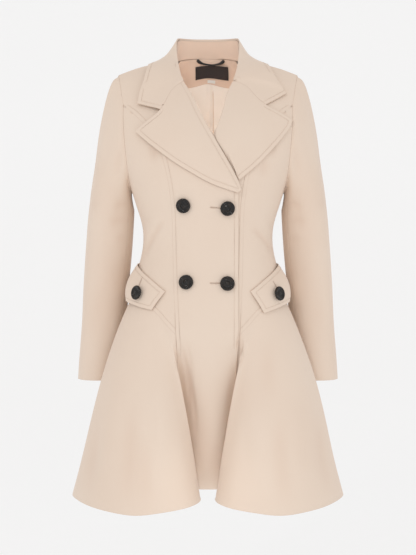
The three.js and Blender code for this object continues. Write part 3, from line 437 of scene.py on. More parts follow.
def press_folds(pieces, folds, sign=1):
    """Moves sheets by the folds that lie on them and stores how deep in a trough each point lies, for the
    painted fold shade.
    """
    directions = shared_normals(pieces)
    for piece in pieces:
        points = coordinates(piece.data)
        outs = directions[piece.name]
        depth = sum(fold_depth(points, outs, fold, sign) for fold in folds)
        set_coordinates(piece.data, points + outs * depth[:, None])
        # the depth of each trough, kept for the painted fold shade in the cloth's colour
        store(piece.data, "fold_shade", np.clip(-depth / FULL_SHADE_DEPTH, 0, 1))


def mark_edge(piece):
    """Stores each point's distance from the sheet's edge, for the materials."""
    mesh = piece.data
    points = coordinates(mesh)
    tree = point_tree(points[edge_points(mesh)])
    store(mesh, "edge", [tree.find(point)[2] for point in points])


def open_edges(mesh):
    """A sheet's open edges: where each starts and ends, and the way it looks out of the sheet."""
    bm = bmesh.new()
    bm.from_mesh(mesh)
    rows = []
    for edge in bm.edges:
        if not edge.is_boundary:
            continue
        corner = edge.link_loops[0]
        start, end = corner.vert.co, corner.link_loop_next.vert.co
        rows.append((start[:], end[:], (end - start).cross(corner.face.normal).normalized()[:]))
    bm.free()
    return [np.array(column) for column in zip(*rows)]


def dense(points, step):
    """A line of points with another one at every step."""
    lengths = np.linalg.norm(np.diff(points, axis=0), axis=1)
    reach = np.concatenate([[0], np.cumsum(lengths)])
    spots = np.linspace(0, reach[-1], max(2, int(reach[-1] / step)))
    return np.stack([np.interp(spots, reach, points[:, axis]) for axis in range(points.shape[1])], axis=1)


# The topstitched sides of each piece on the wearer's left: the way that such a side looks out of
# the piece, and the reach along one axis, in millimetres, within which it is sewn
SEWN = {
    "front_right": [((-1, 0, 0), "z", -900, -262), ((1, 0, -0.3), "z", -900, -92)],
    "front_left": [((1, 0, -0.3), "z", -900, -92)],
    "back": [((1, 0, 0), "z", -900, -97)],
    "side_front": [((0.4, 0, -1), "z", -900, -400)],
    "side_back": [((0.3, 0, -1), "z", -900, -400)],
    "lapel_right": [((0.6, 0, -0.8), "z", -900, 0), ((0.3, 0, 1), "x", 92, 200)],
    "lapel_left": [((0.6, 0, -0.8), "z", -900, 0), ((0.3, 0, 1), "x", 112, 200)],
    "collar_fall": [((0.6, 0, -0.8), "z", -900, 200)],
    "neck_label": [((1, 0, 0), "x", -100, 100), ((-1, 0, 0), "x", -100, 100)],
    "pocket_flap": [
        ((-0.7, 0, 0.7), "z", -900, 0),
        ((0.5, 0, -0.8), "z", -900, 0),
        ((-0.8, 0, -0.5), "z", -900, 0),
    ],
}
SIDE_LOOK = 0.5  # a side counts when it looks that squarely the row's way
SIDE_STEP = 0.7 * MM
STRAY = 0.4  # a stitch is left out where its side runs on or off by more than this share of the inset


def sewn_spots(mesh, rows, mirror):
    """Points along the sides that are sewn, with the way that each side runs."""
    starts, ends, outs = open_edges(mesh)
    middles = (starts + ends) / 2
    flip = np.ones_like(starts)
    flip[:, 0] = mirror or np.sign(middles[:, 0])
    chosen = np.zeros(len(starts), bool)
    for look, axis, low, high in rows:
        look = np.array(look) / np.linalg.norm(look)
        reach = (middles * flip)[:, "xyz".index(axis)] / MM
        chosen |= ((outs * flip) @ look > SIDE_LOOK) & (reach > low) & (reach < high)
    places, runs = [], []
    for start, end in zip(starts[chosen], ends[chosen]):
        line = dense(np.array([start, end]), SIDE_STEP)
        places.extend(line)
        runs.extend([(end - start) / np.linalg.norm(end - start)] * len(line))
    return np.array(places), np.array(runs)


def point_tree(places):
    """A search tree over an array of points."""
    tree = kdtree.KDTree(len(places))
    for index, place in enumerate(places):
        tree.insert(place, index)
    tree.balance()
    return tree


def level_lines(mesh, values, level):
    """Lines on a sheet where a value given at its points is level: rows of point and normal."""
    spots = np.hstack([coordinates(mesh), normals(mesh)])
    above = values > level
    crossing = {}
    links = {}
    for face in mesh.polygons:
        corners = above[list(face.vertices)]
        if corners.all() or not corners.any():
            continue
        keys = [key for key in face.edge_keys if above[key[0]] != above[key[1]]]
        for a, b in keys:
            part = (level - values[a]) / (values[b] - values[a])
            crossing[(a, b)] = spots[a] * (1 - part) + spots[b] * part
            links.setdefault((a, b), []).extend(key for key in keys if key != (a, b))
    lines = []
    while links:
        key = min(links, key=lambda item: len(links[item]))
        line = []
        while key in links:
            line.append(crossing[key])
            after = [other for other in links.pop(key) if other in links]
            key = after[0] if after else None
        if len(line) > 2:
            lines.append(np.array(line))
    return lines


def raised(name, sides, rows):
    """A round piece raised from a circle, row by row, and closed at both ends.

    A row gives the ring's radius, its height and how far it is pushed off the axis.
    """
    deselect()
    bpy.ops.mesh.primitive_circle_add(vertices=sides, radius=rows[0][0], fill_type="NGON")
    piece = bpy.context.object
    piece.name = name
    bpy.ops.object.mode_set(mode="EDIT")
    bpy.ops.mesh.select_mode(type="EDGE")
    bpy.ops.transform.translate(value=(rows[0][2], 0, rows[0][1]))
    bpy.ops.mesh.region_to_loop()
    for before, row in zip(rows, rows[1:]):
        step = (row[2] - before[2], 0, row[1] - before[1])
        bpy.ops.mesh.extrude_edges_move(TRANSFORM_OT_translate={"value": step})
        bpy.ops.transform.resize(value=(row[0] / before[0], row[0] / before[0], 1))
    bpy.ops.mesh.edge_face_add()
    bpy.ops.mesh.select_all(action="SELECT")
    bpy.ops.mesh.normals_make_consistent(inside=False)
    bpy.ops.object.mode_set(mode="OBJECT")
    return piece


# A stitch along its thread: radius, place and height over the cloth, in shares of the thread's
# radius, of the stitch's length and of the radius again
STITCH_ROWS = [(0.5, -0.5, -0.8), (1, -0.25, 0.6), (1, 0.25, 0.6), (0.5, 0.5, -0.8)]
STITCH_SIDES = 4
STITCH_SHARE = 0.86  # of the pitch, between two holes


def sew(name, frames, length, radius, finish="thread"):
    """Lays a copy of one stitch in every frame (place, along, out) and joins them in one piece."""
    rows = [(out * radius, up * length, off * radius) for out, up, off in STITCH_ROWS]
    pattern = raised(name, STITCH_SIDES, rows)
    local = coordinates(pattern.data)
    faces = [list(face.vertices) for face in pattern.data.polygons]
    bpy.data.objects.remove(pattern)
    place, along, out = (np.array(column) for column in zip(*frames))
    along /= np.linalg.norm(along, axis=1)[:, None]
    out -= (out * along).sum(axis=1)[:, None] * along
    out /= np.linalg.norm(out, axis=1)[:, None]
    across = np.cross(along, out)
    points = place[:, None] + sum(
        local[None, :, axis, None] * way[:, None] for axis, way in enumerate((out, across, along))
    )
    shift = len(local)
    joined = [[index + shift * copy for index in face] for copy in range(len(frames)) for face in faces]
    mesh = bpy.data.meshes.new(name)
    mesh.from_pydata(points.reshape(-1, 3).tolist(), [], joined)
    finish_piece(new_piece(name, mesh), finish)


def run_frames(line, pitch):
    """Frames for stitches end to end along a line of points and normals."""
    steps = dense(line, pitch)
    middles = (steps[1:] + steps[:-1]) / 2
    rows = zip(middles, steps, steps[1:])
    return [(spot[:3], end[:3] - start[:3], spot[3:]) for spot, start, end in rows]


def topstitch(piece, node, pitch, inset, thread, finish="thread"):
    """Sews along the sides that SEWN names and marks how far the cloth lies from them."""
    rows = SEWN.get(node) or SEWN.get(node.rsplit("_", 1)[0])
    if not rows:
        return
    mesh = piece.data
    mirror = {"left": 1, "right": -1}.get(node.rsplit("_", 1)[1], 0)
    places, runs = sewn_spots(mesh, rows, mirror)
    tree = point_tree(places)
    values = np.array([tree.find(point)[2] for point in coordinates(mesh)])
    store(mesh, "sewn", values)
    frames = []
    for line in level_lines(mesh, values, inset):
        for place, along, out in run_frames(line, pitch):
            _, index, _ = tree.find(place)
            if abs((place - places[index]) @ runs[index]) < STRAY * inset:
                frames.append((place, along, out))
    sew(f"{node}_topstitch", frames, pitch * STITCH_SHARE, thread, finish)


def thicken(piece, thickness, rounding):
    """Gives a sheet its wall, inwards, with turned edges."""
    solid = piece.modifiers.new("Wall", "SOLIDIFY")
    solid.thickness = thickness
    solid.offset = -1
    solid.use_even_offset = False
    bevel = piece.modifiers.new("Turned edge", "BEVEL")
    bevel.limit_method = "ANGLE"
    bevel.angle_limit = RIM_TURN
    bevel.width = rounding
    bevel.segments = 2
    apply_modifiers(piece)


def finish_piece(piece, finish, node=None):
    """Gives a piece its material and its body, and hides the CAD node that it stands for."""
    piece.data.materials.clear()
    piece.data.materials.append(material(finish))
    for polygon in piece.data.polygons:
        polygon.use_smooth = True
    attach(piece, "root")
    if node:
        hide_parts(node)


# Materials


def set_inputs(node, values):
    """Sets the values of a node's sockets by name."""
    for name, value in values.items():
        node.inputs[name].default_value = value


class Shader:
    """A material's node tree, with short calls for adding and joining nodes."""

    def __init__(self, name):
        self.material = bpy.data.materials.new(name)
        self.material.use_nodes = True
        self.tree = self.material.node_tree
        self.principled = self.tree.nodes["Principled BSDF"]
        self.place = self.add("ShaderNodeTexCoord").outputs["Object"]

    def add(self, kind, **settings):
        node = self.tree.nodes.new(kind)
        for key, value in settings.items():
            setattr(node, key, value)
        return node

    def join(self, source, target):
        self.tree.links.new(source, target)

    def texture(self, kind, values, **settings):
        node = self.add(kind, **settings)
        self.join(self.place, node.inputs["Vector"])
        set_inputs(node, values)
        return node.outputs["Fac"]

    def noise(self, scale, detail=3.0, roughness=0.5):
        values = {"Scale": scale, "Detail": detail, "Roughness": roughness}
        return self.texture("ShaderNodeTexNoise", values)

    def wave(self, scale, direction, distortion=0.0):
        values = {"Scale": scale, "Distortion": distortion}
        return self.texture("ShaderNodeTexWave", values, bands_direction=direction)

    def math(self, operation, first, second=0.0):
        node = self.add("ShaderNodeMath", operation=operation)
        for socket, value in zip(node.inputs, (first, second)):
            if isinstance(value, (int, float)):
                socket.default_value = value
            else:
                self.join(value, socket)
        return node.outputs[0]

    def ramp(self, value, low, high, to_low=0.0, to_high=1.0):
        node = self.add("ShaderNodeMapRange")
        self.join(value, node.inputs["Value"])
        set_inputs(node, {"From Min": low, "From Max": high, "To Min": to_low, "To Max": to_high})
        return node.outputs["Result"]

    def blend(self, factor, first, second):
        node = self.add("ShaderNodeMix", data_type="RGBA")
        self.join(factor, node.inputs["Factor"])
        for socket, value in ((node.inputs[6], first), (node.inputs[7], second)):
            if isinstance(value, bpy.types.NodeSocket):
                self.join(value, socket)
            else:
                socket.default_value = (*value, 1)
        return node.outputs[2]

    def attribute(self, name):
        return self.add("ShaderNodeAttribute", attribute_name=name).outputs["Fac"]

    def bump(self, height, strength, distance, normal=None):
        node = self.add("ShaderNodeBump")
        self.join(height, node.inputs["Height"])
        set_inputs(node, {"Strength": strength, "Distance": distance})
        if normal is not None:
            self.join(normal, node.inputs["Normal"])
        self.join(node.outputs["Normal"], self.principled.inputs["Normal"])
        return node.outputs["Normal"]

    def colour(self, value):
        self.join(value, self.principled.inputs["Base Color"])

    def finish(self, roughness, sheen=0.0, sheen_tint=(1, 1, 1), specular=0.5, coat=0.0):
        values = {
            "Roughness": roughness,
            "Sheen Weight": sheen,
            "Sheen Roughness": 0.45,
            "Sheen Tint": (*sheen_tint, 1),
            "Specular IOR Level": specular,
            "Coat Weight": coat,
            "Coat Roughness": 0.05,
        }
        set_inputs(self.principled, values)
        return self.material


def scaled(colour, factor):
    """A colour made lighter or darker."""
    return tuple(min(1.0, channel * factor) for channel in colour)


_materials = {}


def material(name):
    """The material of that name, made once."""
    if name not in _materials:
        _materials[name] = MATERIALS[name](bpy.context.scene.coat_colours)
    return _materials[name]


def coat_cloth(name, colour, mottle_and_shade_tone):
    """Matt coat cloth: a fine twill, a little mottled, with a dent along its stitched edge. Painted
    shade: the shade tone is mixed in along its edges and seams, along its stitching and in its fold
    troughs.
    """
    shader = Shader(name)
    cloud = shader.ramp(shader.noise(7, 2), 0.35, 0.7)
    fibre = shader.ramp(shader.noise(900, 4, 0.7), 0.3, 0.7)
    base = shader.blend(cloud, tuple(colour), tuple(Vector(colour).lerp(Vector(mottle_and_shade_tone), 0.22)))
    base = shader.blend(shader.math("MULTIPLY", fibre, 0.12), base, tuple(mottle_and_shade_tone))
    inset = bpy.context.scene.coat_sizes.stitch_inset
    sewn = shader.attribute("sewn")
    off = shader.math("ABSOLUTE", shader.math("SUBTRACT", sewn, inset))
    edge = shader.attribute("edge")
    # painted shade: the cloth darkens within 1.3 mm of each sheet's edge, where its seams and turned
    # edges fall into shade
    seam = shader.ramp(edge, 0, 1.3 * MM, 0.35, 0)
    base = shader.blend(seam, base, scaled(mottle_and_shade_tone, 0.88))
    # painted fold shade: the cloth takes the shade tone in its fold troughs
    base = shader.blend(shader.math("MULTIPLY", shader.attribute("fold_shade"), 0.5), base, tuple(mottle_and_shade_tone))
    # painted shade: a faint darker line along the stitching, where the thread draws the cloth into a
    # groove
    line = shader.ramp(off, 0, 1.0 * MM, 0.2, 0)
    shader.colour(shader.blend(line, base, scaled(mottle_and_shade_tone, 0.95)))
    twill = shader.wave(330, "DIAGONAL", 0.6)
    weave = shader.math("ADD", shader.math("MULTIPLY", twill, 0.5), fibre)
    soft = shader.bump(weave, 0.22, 0.25 * MM)
    groove = shader.ramp(off, 0, 1.5 * MM)
    allowance = shader.ramp(sewn, inset * 0.7, inset, 0.6, 0)
    sewing = shader.bump(shader.math("ADD", groove, allowance), 0.35, 0.4 * MM, soft)
    shader.bump(shader.noise(55, 3), 0.1, 1.2 * MM, sewing)
    return shader.finish(0.86, sheen=0.32, sheen_tint=(1, 0.97, 0.95), specular=0.2)


def satin(colours):
    """Satin lining with a soft gloss."""
    shader = Shader("satin_lining")
    shade = shader.ramp(shader.noise(20, 3), 0.3, 0.7)
    shader.colour(shader.blend(shade, tuple(colours.lining), scaled(colours.lining, 0.93)))
    shader.bump(shader.wave(900, "Z"), 0.08, 0.1 * MM)
    return shader.finish(0.42, sheen=0.1, specular=0.5)


def sewing_thread(colours):
    """Polyester thread a shade deeper than the cloth."""
    shader = Shader("sewing_thread")
    twist = shader.ramp(shader.noise(1500, 2), 0.3, 0.7)
    shader.colour(shader.blend(twist, scaled(colours.mottle_and_shade_tone, 0.92), scaled(colours.cloth, 0.98)))
    shader.bump(shader.wave(2000, "DIAGONAL"), 0.3, 0.05 * MM)
    return shader.finish(0.55, sheen=0.1, specular=0.4)


def polished_black(colours):
    """Polished resin buttons."""
    shader = Shader("polished_black")
    cloud = shader.ramp(shader.noise(160, 4), 0.45, 0.7)
    shader.colour(shader.blend(cloud, tuple(colours.button), (0.026, 0.017, 0.012)))
    shader.bump(shader.noise(500, 2), 0.02, 0.2 * MM)
    return shader.finish(0.07, specular=0.3, coat=0.15)


def woven_ribbon(name, colour, lighter):
    """A woven ribbon with crosswise ribs."""
    shader = Shader(name)
    rib = shader.wave(520, "X", 0.3)
    cross = shader.wave(900, "Z", 0.2)
    weave = shader.math("MULTIPLY", rib, cross)
    shader.colour(shader.blend(weave, tuple(colour), lighter))
    shader.bump(weave, 0.35, 0.2 * MM)
    return shader.finish(0.62, sheen=0.12, specular=0.35)


def black_cord(colours):
    """Twisted black cord."""
    shader = Shader("black_cord")
    twist = shader.wave(210, "DIAGONAL", 0.4)
    shader.colour(shader.blend(twist, scaled(colours.button, 0.8), (0.035, 0.033, 0.034)))
    shader.bump(twist, 0.6, 0.5 * MM)
    return shader.finish(0.6, sheen=0.15, specular=0.4)


MATERIALS = {
    "cloth": lambda colours: coat_cloth("coat_cloth", colours.cloth, colours.mottle_and_shade_tone),
    "facing": lambda colours: coat_cloth("facing_cloth", colours.facing, scaled(colours.facing, 0.85)),
    "lining": satin,
    "thread": sewing_thread,
    # the buttonhole slit is the facing darkened: painted shade in the hole's opening
    "slit_shade": lambda colours: coat_cloth(
        "buttonhole_slit_shade", scaled(colours.facing, 0.75), scaled(colours.facing, 0.6)
    ),
    "button": polished_black,
    "label": lambda colours: woven_ribbon("label_ribbon", colours.label, (0.06, 0.045, 0.042)),
    "tag": lambda colours: woven_ribbon("tag_ribbon", colours.tag, (0.86, 0.85, 0.83)),
    "cord": black_cord,
}

SIDES = ("left", "right")


# The label is sewn down with its own finer stitches
LABEL_STITCH = {"pitch": 1.6 * MM, "inset": 2.4 * MM, "thread": 0.28 * MM}
STAND = 1.6 * MM  # thickness of the collar stand
RIBBON = 0.9 * MM  # thickness of the label and the tag


def sheet_of(node, levels=3):
    """The smooth outer sheet of a CAD node, named after it."""
    return smooth_through(outer_sheet(node, f"{node}_cloth"), levels)


def finish_sheet(piece, node, thickness, finish="cloth"):
    """Thickens a sheet, dresses it and hides the CAD node that it came from."""
    sizes = bpy.context.scene.coat_sizes
    mark_edge(piece)
    if finish == "label":
        topstitch(piece, node, **LABEL_STITCH, finish="cord")
    else:
        topstitch(piece, node, sizes.stitch_pitch, sizes.stitch_inset, sizes.thread)
    free = node.startswith(("lapel", "collar", "pocket"))
    thicken(piece, thickness, sizes.edge_round if free else min(sizes.seam_round, thickness * 0.3))
    finish_piece(piece, finish, node)


class COAT_OT_body(Operator):
    """Makes the fronts, sides, backs and flares"""

    bl_idname = "coat.body"
    bl_label = "Body and skirt"

    def execute(self, context):
        sheets = {"front_right": sheet_of("front_right"), "front_left": sheet_of("front_left")}
        for name in ("side_front", "flare_front", "back", "side_back", "flare_back"):
            for side in SIDES:
                node = f"{name}_{side}"
                sheets[node] = sheet_of(node, 3 if name == "side_front" else 2)
        pieces = list(sheets.values())
        close_seams(pieces, SEAM_REACH["body"])
        press_folds(pieces, BODY_FOLDS)
        remember_borders(pieces)
        for node, piece in sheets.items():
            finish_sheet(piece, node, context.scene.coat_sizes.cloth)
        return {"FINISHED"}


class COAT_OT_sleeves(Operator):
    """Makes the two-piece sleeves"""

    bl_idname = "coat.sleeves"
    bl_label = "Sleeves"

    def execute(self, context):
        thickness = context.scene.coat_sizes.cloth
        for side, sign in zip(SIDES, (1, -1)):
            nodes = [f"top_sleeve_{side}", f"under_sleeve_{side}"]
            sheets = [sheet_of(node, 2) for node in nodes]
            press_folds(sheets, SLEEVE_FOLDS, sign)
            close_seams(sheets, SEAM_REACH["sleeve"])
            for node, piece in zip(nodes, sheets):
                finish_sheet(piece, node, thickness)
        return {"FINISHED"}


class COAT_OT_collar(Operator):
    """Makes the collar's stand and fall and the lapels"""

    bl_idname = "coat.collar"
    bl_label = "Collar and lapels"

    def execute(self, context):
        sizes = context.scene.coat_sizes
        _borders.clear()
        for side in SIDES:
            node = f"lapel_{side}"
            lapel = sheet_of(node)
            remember_borders([lapel])
            finish_sheet(lapel, node, sizes.cloth)
        fall = sheet_of("collar_fall")
        close_seams([fall], SEAM_REACH["fall"])
        finish_sheet(fall, "collar_fall", sizes.cloth)
        _borders.clear()
        stand = sheet_of("collar_stand")
        remember_borders([stand])
        finish_sheet(stand, "collar_stand", STAND, "facing")
        return {"FINISHED"}


class COAT_OT_flaps(Operator):
    """Makes the pocket flaps"""

    bl_idname = "coat.flaps"
    bl_label = "Pocket flaps"

    def execute(self, context):
        thickness = context.scene.coat_sizes.cloth
        for side in SIDES:
            node = f"pocket_flap_{side}"
            finish_sheet(sheet_of(node), node, thickness)
        return {"FINISHED"}


class COAT_OT_inside(Operator):
    """Makes the neck facing and the back lining"""

    bl_idname = "coat.inside"
    bl_label = "Facing and lining"

    def execute(self, context):
        thin = context.scene.coat_sizes.thin
        for node, finish in (("neck_facing", "facing"), ("back_lining", "lining")):
            piece = sheet_of(node)
            if finish == "lining":
                press_folds([piece], LINING_FOLDS)
            close_seams([piece], SEAM_REACH[finish])
            remember_borders([piece])
            finish_sheet(piece, node, thin, finish)
        return {"FINISHED"}


# The loop's tape is a little fuller than its solid and folded double at its ends: how far from
# the middle that begins, over what length and how much wider it gets
LOOP_TAPE = {"fuller": 0.3 * MM, "from": 13 * MM, "over": 12 * MM, "wider": 1.5 * MM}


class COAT_OT_trims(Operator):
    """Finishes the label, the size tag and the hanger loop"""

    bl_idname = "coat.trims"
    bl_label = "Label, tag and loop"

    def execute(self, context):
        for node, finish in (("neck_label", "label"), ("size_tag", "tag")):
            finish_sheet(sheet_of(node), node, RIBBON, finish)
        loop = new_piece("hanger_loop_tape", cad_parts["hanger_loop"].data.copy())
        merge_points(loop.data)
        rounded = loop.modifiers.new("Rounded", "SUBSURF")
        rounded.levels = rounded.render_levels = 2
        apply_modifiers(loop)
        points = coordinates(loop.data)
        middle = points[:, 0].mean()
        ends = smoothstep((np.abs(points[:, 0] - middle) - LOOP_TAPE["from"]) / LOOP_TAPE["over"])
        width = LOOP_TAPE["wider"] * ends + LOOP_TAPE["fuller"]
        set_coordinates(loop.data, points + normals(loop.data) * width[:, None])
        finish_piece(loop, "cord", "hanger_loop")
        return {"FINISHED"}


BUTTON_RADIUS = 13.5 * MM
BUTTON_HEIGHT = 5.5 * MM
BUTTON_SINK = 2.9 * MM  # from the middle of the button's node back to its underside
# A button's profile from its back to the middle of its face, in shares of its radius and height
BUTTON_ROWS = [
    {"out": 0.62, "up": 0.0},
    {"out": 0.86, "up": 0.1},
    {"out": 0.98, "up": 0.34},
    {"out": 1.0, "up": 0.55},
    {"out": 0.975, "up": 0.8},
    {"out": 0.91, "up": 0.96},
    {"out": 0.84, "up": 1.0},
    {"out": 0.76, "up": 0.94},
    {"out": 0.7, "up": 0.76},
    {"out": 0.6, "up": 0.6},
    {"out": 0.44, "up": 0.52},
    {"out": 0.36, "up": 0.56},
    {"out": 0.3, "up": 0.74},
    {"out": 0.22, "up": 0.84},
    {"out": 0.1, "up": 0.88},
]


def node_facing(node):
    """The middle of a button's node and the direction that its face looks in."""
    low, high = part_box(node)
    points = coordinates(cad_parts[node].data)
    middle = (low + high) / 2
    spread = points - points.mean(axis=0)
    _, _, axes = np.linalg.svd(spread, full_matrices=False)
    look = Vector(axes[2])
    away = Vector((middle.x, middle.y, 0))
    return middle, look if look.dot(away) > 0 else -look


class COAT_OT_buttons(Operator):
    """Makes the four front buttons and the button of each flap"""

    bl_idname = "coat.buttons"
    bl_label = "Buttons"

    def execute(self, context):
        sides = context.scene.coat_sizes.button_sides
        rows = [(row["out"] * BUTTON_RADIUS, row["up"] * BUTTON_HEIGHT, 0) for row in BUTTON_ROWS]
        for node in sorted(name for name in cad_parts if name.startswith("button_")):
            middle, look = node_facing(node)
            piece = raised(f"{node}_turned", sides, rows)
            turn = Vector((0, 0, 1)).rotation_difference(look).to_matrix().to_4x4()
            piece.data.transform(turn)
            place = middle - look * BUTTON_SINK
            for vert in piece.data.vertices:
                vert.co += place
            piece.matrix_world.identity()
            finish_piece(piece, "button", node)
        return {"FINISHED"}


# The buttonholes: the button that each belongs to, the sheet it is cut in, and how far across
# and up from the button's middle its far end lies, in millimetres
BUTTONHOLE_COLUMNS = ("button", "sheet", "across", "up")
BUTTONHOLES = [
    ("button_upper_left", "front_right", -31.3, 2.6),
    ("button_lower_left", "front_right", -31.5, 0.4),
    ("button_flap_right", "pocket_flap_right", 10.4, 27.4),
    ("button_flap_left", "pocket_flap_left", -11.4, 22.6),
]
# A hole's half width at its button is gape, and it closes towards its far end
HOLE = {
    "points": 60,
    "bar": 1.8 * MM,
    "pitch": 0.72 * MM,
    "gape": 0.42 * MM,
    "closed": 0.1 * MM,
    "thread": 0.22 * MM,
}
IN_FRONT = -0.4  # metres: the place in front of the coat from which its cloth is looked for


def from_front(piece, x, z):
    """The point and the normal of a piece seen from the front at one place."""
    found, spot, out, _ = piece.ray_cast((x, IN_FRONT, z), (0, 1, 0))
    return (np.array(spot), np.array(out)) if found else None


class COAT_OT_buttonholes(Operator):
    """Sews the buttonholes"""

    bl_idname = "coat.buttonholes"
    bl_label = "Buttonholes"

    def execute(self, context):
        for values in BUTTONHOLES:
            row = dict(zip(BUTTONHOLE_COLUMNS, values))
            middle, _ = node_facing(row["button"])
            cloth = bpy.data.objects[f"{row['sheet']}_cloth"]
            way = np.array([row["across"], row["up"]]) * MM
            shares = np.linspace(0, 1, HOLE["points"])
            spots = [(middle.x + way[0] * share, middle.z + way[1] * share) for share in shares]
            seen = [from_front(cloth, x, z) for x, z in spots]
            line = np.array([np.concatenate(pair) for pair in seen if pair])
            bars = []
            rows = run_frames(line, HOLE["pitch"])
            for index, (place, along, out) in enumerate(rows):
                across = np.cross(along, out)
                across /= np.linalg.norm(across)
                gape = HOLE["gape"] * (1 - index / len(rows)) + HOLE["closed"]
                for side in (-1, 1):
                    bars.append((place + across * side * (gape + HOLE["bar"] / 2), across, out))
            # three bars close together end it
            for step in (0, 1, 2):
                spot = place + along / np.linalg.norm(along) * step * HOLE["thread"] * 1.8
                bars.append((spot + out * HOLE["thread"], across, out))
            sew(f"{row['button']}_buttonhole", bars, HOLE["bar"] * 1.1, HOLE["thread"])
            # a dark sliver sunk along the hole: painted shade in its opening
            inner = run_frames(line, HOLE["pitch"] * 4)
            sew(f"{row['button']}_slit", inner, HOLE["pitch"] * 5, HOLE["gape"] * 0.7, "slit_shade")
        return {"FINISHED"}


# The studio floor, in metres: its height, half its width, how far behind the coat it turns up,
# how far it rises and the radius of its curve
FLOOR = {"z": -1.3, "half": 6, "behind": 3.4, "rise": 6, "curve": 1.7}
# The stage paint: how much darker its two tones are than the stage's colour, and its own glow
STAGE_TONES = (0.54, 0.55)
STAGE_GLOW = 0.53
# The softboxes, in metres, watts and degrees of spread
MIDDLE = (0, 0, -0.41)
LIGHT_COLUMNS = ("name", "place", "aim", "sides", "power", "spread")
LIGHTS = [
    ("key_softbox", (-1.0, -2.1, 1.2), MIDDLE, (0.22, 0.22), 5.5, 180),
    ("front_softbox", (0.1, -3.2, 0.1), MIDDLE, (2.4, 2.4), 8.5, 180),
    ("neck_light", (0.01, -0.05, -0.34), (0, 0.07, -0.13), (0.14, 0.08), 0.28, 180),
    ("glint_light", (0.75, -1.5, -1.15), (0, 0, -0.35), (0.16, 0.16), 0.9, 180),
    ("hem_light", (0, -1.6, -0.95), (0, 0, -0.78), (0.12, 0.12), 0.016, 11),
    ("left_softbox", (-2, -1.1, -0.4), MIDDLE, (1.2, 1.2), 1.6, 180),
    ("right_softbox", (2, -1.1, -0.4), MIDDLE, (1.2, 1.2), 2, 180),
]
STUDIO = {"Color": (0.93, 0.9, 0.875, 1), "Strength": 0.82}  # the light from all round
# The camera's place across and up, and its lens and sensor in millimetres
CAMERA = {"x": 0.2 * MM, "z": -412.4 * MM, "lens": 39.92, "sensor": 24}


def area_light(row):
    """A softbox that looks at a point and that no camera sees."""
    light = bpy.data.lights.new(row["name"], "AREA")
    light.shape = "RECTANGLE"
    light.size, light.size_y = row["sides"]
    light.energy = row["power"]
    light.spread = math.radians(row["spread"])
    lamp = bpy.data.objects.new(row["name"], light)
    bpy.context.scene.collection.objects.link(lamp)
    way = Vector(row["aim"]) - Vector(row["place"])
    lamp.location = row["place"]
    lamp.rotation_euler = way.to_track_quat("-Z", "Y").to_euler()
    lamp.visible_camera = False


def studio_sweep():
    """A floor that curves up into a backdrop behind the coat."""
    deselect()
    bpy.ops.mesh.primitive_plane_add(size=2, location=(0, 0, FLOOR["z"]))
    sweep = bpy.context.object
    sweep.name = "studio_sweep"
    bpy.ops.object.mode_set(mode="EDIT")
    bpy.ops.transform.resize(value=(FLOOR["half"], FLOOR["half"], 1))
    bpy.ops.mesh.select_mode(type="EDGE")
    pick(sweep, lambda point: point.y > FLOOR["half"] - 1)
    bpy.ops.transform.translate(value=(0, FLOOR["behind"] - FLOOR["half"], 0))
    bpy.ops.mesh.extrude_edges_move(TRANSFORM_OT_translate={"value": (0, 0, FLOOR["rise"])})
    pick(sweep, lambda point: point.y > FLOOR["behind"] - 1 and point.z < FLOOR["rise"] / 2)
    bpy.ops.mesh.bevel(offset=FLOOR["curve"], segments=16, affect="EDGES")
    bpy.ops.object.mode_set(mode="OBJECT")
    bpy.ops.object.transform_apply(location=True, rotation=True, scale=True)
    for polygon in sweep.data.polygons:
        polygon.use_smooth = True
    return sweep


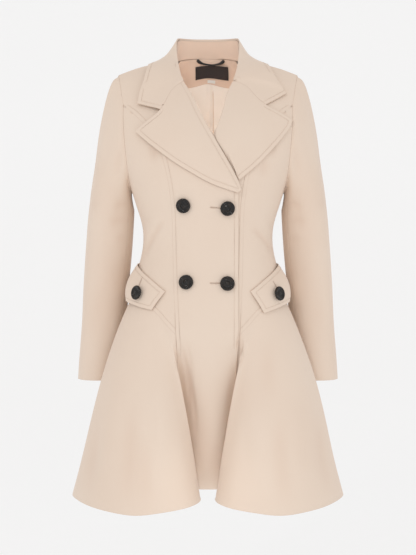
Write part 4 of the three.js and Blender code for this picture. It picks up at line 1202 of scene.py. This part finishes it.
class COAT_OT_stage(Operator):
    """Adds the floor and backdrop, the lights and the camera"""

    bl_idname = "coat.stage"
    bl_label = "Stage"

    def execute(self, context):
        scene = context.scene
        sweep = studio_sweep()
        shader = Shader("stage_paint")
        tone = tuple(scene.coat_colours.stage)
        darker, lighter = (scaled(tone, share) for share in STAGE_TONES)
        shader.colour(shader.blend(shader.noise(2, 2), darker, lighter))
        set_inputs(shader.principled, {"Emission Color": (*tone, 1), "Emission Strength": STAGE_GLOW})
        shader.finish(0.9, specular=0.0)
        sweep.data.materials.append(shader.material)
        for values in LIGHTS:
            area_light(dict(zip(LIGHT_COLUMNS, values)))
        world = bpy.data.worlds.new("studio")
        world.use_nodes = True
        set_inputs(world.node_tree.nodes["Background"], STUDIO)
        scene.world = world
        scene.view_settings.view_transform = "Standard"
        data = bpy.data.cameras.new("camera")
        data.sensor_fit = "VERTICAL"
        data.sensor_height = CAMERA["sensor"]
        data.lens = CAMERA["lens"]
        camera = bpy.data.objects.new("camera", data)
        scene.collection.objects.link(camera)
        camera.location = (CAMERA["x"], -scene.coat_sizes.camera_distance, CAMERA["z"])
        camera.rotation_euler = (math.radians(90), 0, 0)
        scene.camera = camera
        return {"FINISHED"}


class COAT_PT_panel(Panel):
    """Lists the coat's sizes, colours and pieces"""

    bl_label = "Skater coat"
    bl_idname = "COAT_PT_panel"
    bl_space_type = "VIEW_3D"
    bl_region_type = "UI"
    bl_category = "Coat"

    def draw(self, context):
        layout = self.layout
        for group in (context.scene.coat_sizes, context.scene.coat_colours):
            for name in group.__annotations__:
                layout.prop(group, name)
        for operator in OPERATORS:
            layout.operator(operator.bl_idname)


OPERATORS = (
    COAT_OT_body,
    COAT_OT_sleeves,
    COAT_OT_collar,
    COAT_OT_flaps,
    COAT_OT_inside,
    COAT_OT_trims,
    COAT_OT_buttons,
    COAT_OT_buttonholes,
    COAT_OT_stage,
)
CLASSES = (CoatSizes, CoatColours, *OPERATORS, COAT_PT_panel)


def register():
    for item in CLASSES:
        bpy.utils.register_class(item)
    bpy.types.Scene.coat_sizes = PointerProperty(type=CoatSizes)
    bpy.types.Scene.coat_colours = PointerProperty(type=CoatColours)


def unregister():
    del bpy.types.Scene.coat_colours
    del bpy.types.Scene.coat_sizes
    for item in reversed(CLASSES):
        bpy.utils.unregister_class(item)


def main():
    register()
    deselect()
    for operator in OPERATORS:
        group, name = operator.bl_idname.split(".")
        getattr(getattr(bpy.ops, group), name)()


if __name__ == "__main__":
    main()
